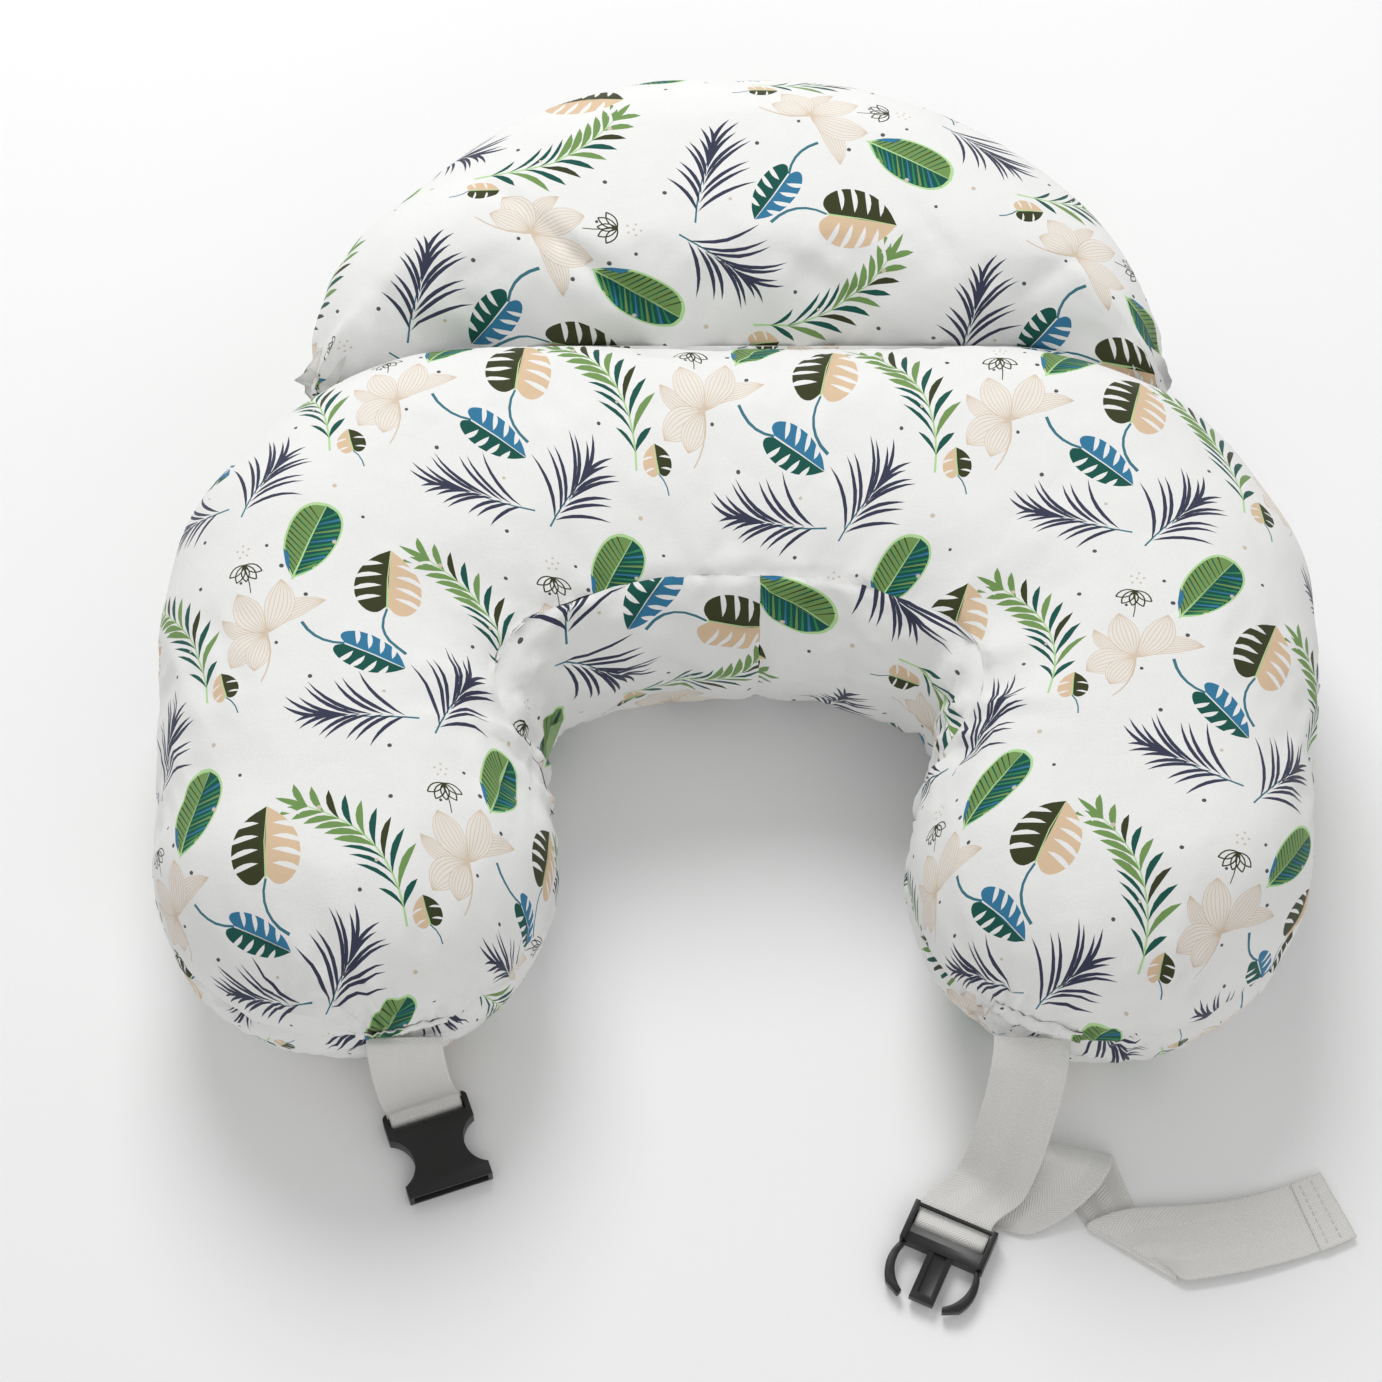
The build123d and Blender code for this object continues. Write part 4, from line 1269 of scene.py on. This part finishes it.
ON_PLUG = (PLUG[0], PLUG[1], 0)
top_z, low_z = PLUG[2] + LOOP_R, PLUG[2] - LOOP_R
long_stations = [
    ((144.5, -275.5, 82.8), yawed(-3), (0, -0.5, 0.85), WIDE),
    ((144.2, -282.5, 81.8), yawed(-4), (0, -0.5, 0.85), WIDE),
    ((142.8, -291.5, 75), yawed(-5), (0, -1, 0.8), WIDE),
    ((140.5, -300.0, 60), yawed(-6), (0, -1, 0.5), WIDE),
    ((137.5, -307.5, 42), yawed(-8), (0, -1, 0.45), WIDE),
    ((134.0, -315.5, 25.5), yawed(-12), (0, -1, 0.6), WIDE),
    ((129.3, -323.5, 14), yawed(-18), (0, -0.7, 1), WIDE),
    ((124.2, -330.3, 9.8), yawed(-23), (0, -0.2, 1), WIDE),
    (in_frame(ON_PLUG, PLUG_YAW, 0, 13, top_z + 0.2), yawed(PLUG_YAW), (0, 0, 1), WIDE),
    (in_frame(ON_PLUG, PLUG_YAW, 0, 5, top_z), yawed(PLUG_YAW), (0, 0, 1), WIDE),
] + loop_stations(PLUG, PLUG_YAW) + [
    (in_frame(ON_PLUG, PLUG_YAW, 0, 5, low_z), yawed(PLUG_YAW), (0, 0, -1), WIDE),
    (in_frame(ON_PLUG, PLUG_YAW, 0, 13, low_z - 0.1), yawed(-27), (0, 0, -1), WIDE),
    ((131.5, -338.5, 2.2), yawed(-44), (0, 0, -1), WIDE),
    ((147.0, -332.5, 5.5), yawed(-47), (0.2, 0.1, -1), WIDE),
    ((158.5, -325.5, 14), yawed(-32, -0.1), (0.3, 0.4, -1), 40.0),
    ((167.0, -319.0, 20.4), yawed(-10, -0.28), (0, -0.1, -1), 41.0),
    ((169.0, -311.5, 17.8), yawed(-6, -0.34), (0, -0.8, -0.6), 42.0),
    ((170.0, -309.0, 11.4), yawed(-8, -0.28), (0, -1, 0), 42.0),
    ((172.5, -313.0, 4.2), yawed(-15, -0.1), (0, -0.8, 0.6), 43.0),
    ((178.0, -325.0, 1.2), yawed(-22), (0, 0, 1), 45.0),
    ((188.0, -344.0, 1.0), yawed(-29), (0, 0, 1), 49.0),
    ((196.3, -358.5, 1.2), yawed(-32), (0, 0, 1), 52.0),
    ((197.4, -361.4, 2.8), yawed(-32), (-0.5, -0.85, 0), 52.0),
    ((198.8, -359.2, 4.4), yawed(-34), (0, 0, -1), 51.0),
    ((210.0, -357.0, 4.9), yawed(-58), (0, 0, -1), 44.0),
    ((224.0, -356.5, 4.8), yawed(-76), (0, 0.05, -1), 40.0),
    ((250.0, -353.0, 4.4), yawed(-80), (0, 0.12, -1), WIDE),
    ((278.0, -345.5, 3.0), yawed(-72), (0, 0.06, -1), WIDE),
    ((303.0, -336.0, 1.9), yawed(-64), (0, 0, -1), WIDE),
]
long_strap = ribbon("long_strap_webbing", None, long_stations,
                    "right_strap", "right_strap_tail", "strap_loop")
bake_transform(long_strap)

hem = ribbon("strap_tail_hem_fold", "long_strap", [
    ((286.0, -343.2, 3.9), yawed(-69), (0, 0, -1), WIDE),
    ((294.0, -340.0, 3.5), yawed(-66), (0, 0, -1), WIDE),
    ((303.2, -335.9, 3.2), yawed(-64), (0, 0, -1), WIDE),
], "strap_tail_hem")


def stitch_row(name, points, normals, body, length=2.6, gap=1.2, radius=0.32):
    """Short raised stitches along a line."""
    run = np.concatenate([[0], np.cumsum(np.linalg.norm(np.diff(points, axis=0), axis=1))])
    verts, faces = [], []
    for s in np.arange(gap, run[-1] - length, length + gap):
        spots = np.stack([np.interp(np.linspace(s, s + length, 5), run, points[:, k]) for k in range(3)], 1)
        n = np.array([np.interp(s + length / 2, run, normals[:, k]) for k in range(3)])
        n /= np.linalg.norm(n)
        side = np.cross(n, (spots[-1] - spots[0]) / np.linalg.norm(spots[-1] - spots[0]))
        faces += tube_faces(5, 6, len(verts))
        for spot, rise, size in zip(spots, (-0.1, 0.22, 0.3, 0.22, -0.1), (0.5, 0.95, 1.0, 0.95, 0.5)):
            for a in np.arange(6) * TAU / 6:
                verts.append(spot + n * rise + (side * math.cos(a) + n * math.sin(a)) * radius * size)
    obj = make_object(name, verts, [f[::-1] for f in faces], THREAD)
    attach(obj, body)


centre, across, normal, _ = frames([
    ((286.0, -343.2, 4.75), yawed(-69), (0, 0, 1), WIDE),
    ((303.2, -335.9, 4.0), yawed(-64), (0, 0, 1), WIDE),
], 8)
for row, at in (("inner", 2), ("outer", 5)):
    line = centre[at] + np.outer((-18, 0, 18), across[at])
    stitch_row(f"tail_stitches_{row}", line, np.tile(normal[at], (3, 1)), "long_strap")


def two_sided(name, outer, inner, tris, flat, inks):
    """A printed strip with a thickness of its own."""
    pairs = {tuple(e) for k in ((0, 1), (1, 2), (2, 0)) for e in tris[:, k].tolist()}
    count = len(outer)
    border = [(b, a, a + count, b + count) for a, b in pairs if (b, a) not in pairs]
    faces = tris.tolist() + (tris[:, ::-1] + count).tolist() + border
    inks = np.concatenate([inks, np.zeros(len(tris) + len(border), int)])
    uv = np.concatenate([flat, flat])
    return make_object(name, np.concatenate([outer, inner]), faces, COTTON, uv, inks)


# ---------------------------------------------------------------- strap flaps
FLAP_HALF = 23


def flap(name, root, reach, node):
    """Folded tab of cover fabric over a strap's sewn end, lying on the cushion with its print in line."""
    arc0 = float(u_line.nearest(np.array([[root, ARM_END_Y]]))[3][0])

    def flat_at(arc, s):
        foot, inward = u_line.at(arc0 + arc)
        return foot + inward * (s - u_top.extra)[:, None]

    arcs, ups = np.arange(-FLAP_HALF, FLAP_HALF + 0.1, 2), np.arange(0.4, reach, 2)
    across, up = np.ones(len(arcs)), np.ones(len(ups)) * FLAP_HALF
    rim = np.concatenate([flat_at(arcs, across * 0.4)[:-1], flat_at(up, ups)[:-1],
                          flat_at(arcs[::-1], across * reach)[:-1], flat_at(-up, ups[::-1])[:-1]])
    shapes = print_shapes(rim.min(0), rim.max(0), np.array(MAIN_ORIGIN, float), 0, drawn_main)
    flat, tris, inks = triangulate(rim, 2.5, shapes)
    place, normal = u_cushion.at(0, flat)
    place = lean(place)
    if vertex_normals(place, tris)[:, 2].mean() < 0:
        tris = tris[:, ::-1]
    obj = two_sided(name, place + normal * 1.5, place + normal * 0.5, tris, flat, inks)
    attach(obj, "main_cushion")
    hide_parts(node)
    line, line_n = u_cushion.at(0, flat_at(np.linspace(-21, 21, 22), np.full(22, 2.6)))
    stitch_row(name + "_stitches", lean(line) + line_n * 1.6, line_n, "main_cushion",
               length=1.8, gap=0.9, radius=0.25)


flap("strap_tab_left", -165.0, 13.0, "strap_flap_left")
flap("strap_tab_right", 155.5, 16.0, "strap_flap_right")


# ---------------------------------------------------------------- crease between the two cushions
def crease_strip():
    """Fabric tucked into the crease: down the U's back, and up the front of the half-moon."""
    z_u, z_deep, z_m = np.linspace(113, 88, 7), np.array([85.5]), np.linspace(88, 97, 5)
    s_u, s_m = np.interp(z_u, u_top.z, u_top.s), np.interp(z_m, m_top.z, m_top.s)
    tuck = np.linspace(-0.5, 3.5, len(z_m))
    offset = np.concatenate([-u_top.at(s_u)[0] + 0.6, [2.0], CREASE_GAP + m_top.at(s_m)[0] + tuck])
    height = np.concatenate([z_u, z_deep, z_m])
    along = np.concatenate([[0], np.cumsum(np.hypot(np.diff(offset), np.diff(height)))])
    flat_y = U_BACK_Y + CREASE_GAP - m_top.extra + s_m[-1] - along[-1] + along
    wide = 205.0
    rim = [(x, flat_y[0]) for x in np.arange(-wide, wide, 5)] + [(wide, y) for y in flat_y[:-1]]
    rim += [(x, flat_y[-1]) for x in np.arange(wide, -wide, -5)] + [(-wide, y) for y in flat_y[:0:-1]]
    rim = np.array(rim)
    shapes = print_shapes(rim.min(0), rim.max(0), np.array(MOON_ORIGIN, float), -90)
    flat, tris, inks = triangulate(rim, PITCH, shapes)
    over = np.maximum(np.abs(flat[:, 0]) - BACK_STRAIGHT, 0.0)
    slope = -over / np.sqrt(U_BACK_ROUND ** 2 - over ** 2) * np.sign(flat[:, 0])
    size = np.hypot(slope, 1)
    y_off, z = np.interp(flat[:, 1], flat_y, offset), np.interp(flat[:, 1], flat_y, height)
    spots = np.stack([flat[:, 0] - slope / size * y_off, behind_u(flat[:, 0], 0) + y_off / size, z], 1)
    normal = vertex_normals(spots, tris)
    if normal[:, 2].mean() < 0:
        tris, normal = tris[:, ::-1], -normal
    obj = two_sided("crease_gusset", spots, spots - normal * 0.6, tris, flat, inks)
    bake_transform(obj)
    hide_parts("hinge_tape_front", "hinge_tape_back")


crease_strip()


# ---------------------------------------------------------------- buckle, with its moulded edges eased
def eased(node, body, width):
    """The CAD piece with its sharp edges rounded, as moulded plastic has them."""
    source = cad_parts[node]
    mesh = source.data.copy()
    obj = bpy.data.objects.new(node + "_moulded", mesh)
    obj.matrix_world = source.matrix_world
    bpy.context.scene.collection.objects.link(obj)
    mesh.materials.clear()
    mesh.materials.append(PLASTIC)
    bpy.context.view_layer.objects.active = obj
    weld = obj.modifiers.new("weld", "WELD")
    weld.merge_threshold = 0.00002
    flatten = obj.modifiers.new("flatten", "DECIMATE")
    flatten.decimate_type = "DISSOLVE"
    flatten.angle_limit = math.radians(2)
    bevel = obj.modifiers.new("bevel", "BEVEL")
    bevel.width, bevel.segments, bevel.limit_method = width * MM, 3, "ANGLE"
    bevel.angle_limit = math.radians(35)
    bevel.use_clamp_overlap = True
    bpy.context.view_layer.update()
    done = bpy.data.meshes.new_from_object(obj.evaluated_get(bpy.context.evaluated_depsgraph_get()))
    obj.modifiers.clear()
    obj.data = done
    for p in done.polygons:
        p.use_smooth = True
    done.set_sharp_from_angle(angle=math.radians(40))
    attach(obj, body)
    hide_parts(node)


for node, body in (("buckle_socket", "socket"), ("buckle_plug", "plug"), ("plug_prong_left", "prong_left"),
                   ("plug_prong_right", "prong_right")):
    eased(node, body, 0.6)

# ---------------------------------------------------------------- finishes of the CAD pieces that show
for node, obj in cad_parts.items():
    if obj.hide_render:
        continue
    material = {"tape": TAPE, "coil": COIL, "slider": ENAMEL, "pull": ENAMEL}.get(node.split("_")[-1])
    if material is None:
        material = TAPE if "tape" in node else COIL
    if len(obj.data.materials) == 0:
        obj.data.materials.append(material)
    for slot in obj.material_slots:
        slot.material = material

# ---------------------------------------------------------------- stage
floor_mesh = bpy.data.meshes.new("floor")
FLOOR_HALF, FLOOR_DROP = 6, 0.0002
floor_corners = [(x * FLOOR_HALF, y * FLOOR_HALF, -FLOOR_DROP) for x, y in ((-1, -1), (1, -1), (1, 1), (-1, 1))]
floor_mesh.from_pydata(floor_corners, [], [(0, 1, 2, 3)])
floor = bpy.data.objects.new("floor", floor_mesh)
bpy.context.scene.collection.objects.link(floor)
floor_finish = Finish("floor", (0.97, 0.97, 0.97), 0.9)
floor_finish.set("Specular IOR Level", 0.1)
floor_mesh.materials.append(floor_finish.material)

target = Vector((-0.0248, -0.0473, 0.0))
elevation, distance = math.radians(65.0), 2.427
camera_data = bpy.data.cameras.new("camera")
camera = bpy.data.objects.new("camera", camera_data)
bpy.context.scene.collection.objects.link(camera)
camera.location = target + Vector((0, -math.cos(elevation), math.sin(elevation))) * distance
camera.rotation_euler = (math.pi / 2 - elevation, 0, 0)
camera_data.lens = 118.35
camera_data.sensor_width = 36.0
bpy.context.scene.camera = camera


def area_light(name, location, aim, size, power):
    data = bpy.data.lights.new(name, "AREA")
    data.shape, data.size, data.energy = "DISK", size, power
    light = bpy.data.objects.new(name, data)
    bpy.context.scene.collection.objects.link(light)
    light.location = location
    light.rotation_euler = (Vector(aim) - Vector(location)).to_track_quat("-Z", "Y").to_euler()


area_light("key", (-0.35, 1.5, 2.0), (0, 0, 0.05), 1.3, 35)
area_light("fill", (0.6, -1.8, 1.6), (0, -0.1, 0.05), 1.8, 7)
world = bpy.data.worlds.new("studio")
world.use_nodes = True
world.node_tree.nodes["Background"].inputs[0].default_value = (1, 1, 1, 1)
world.node_tree.nodes["Background"].inputs[1].default_value = 0.5
bpy.context.scene.world = world
bpy.context.scene.view_settings.view_transform = "Standard"
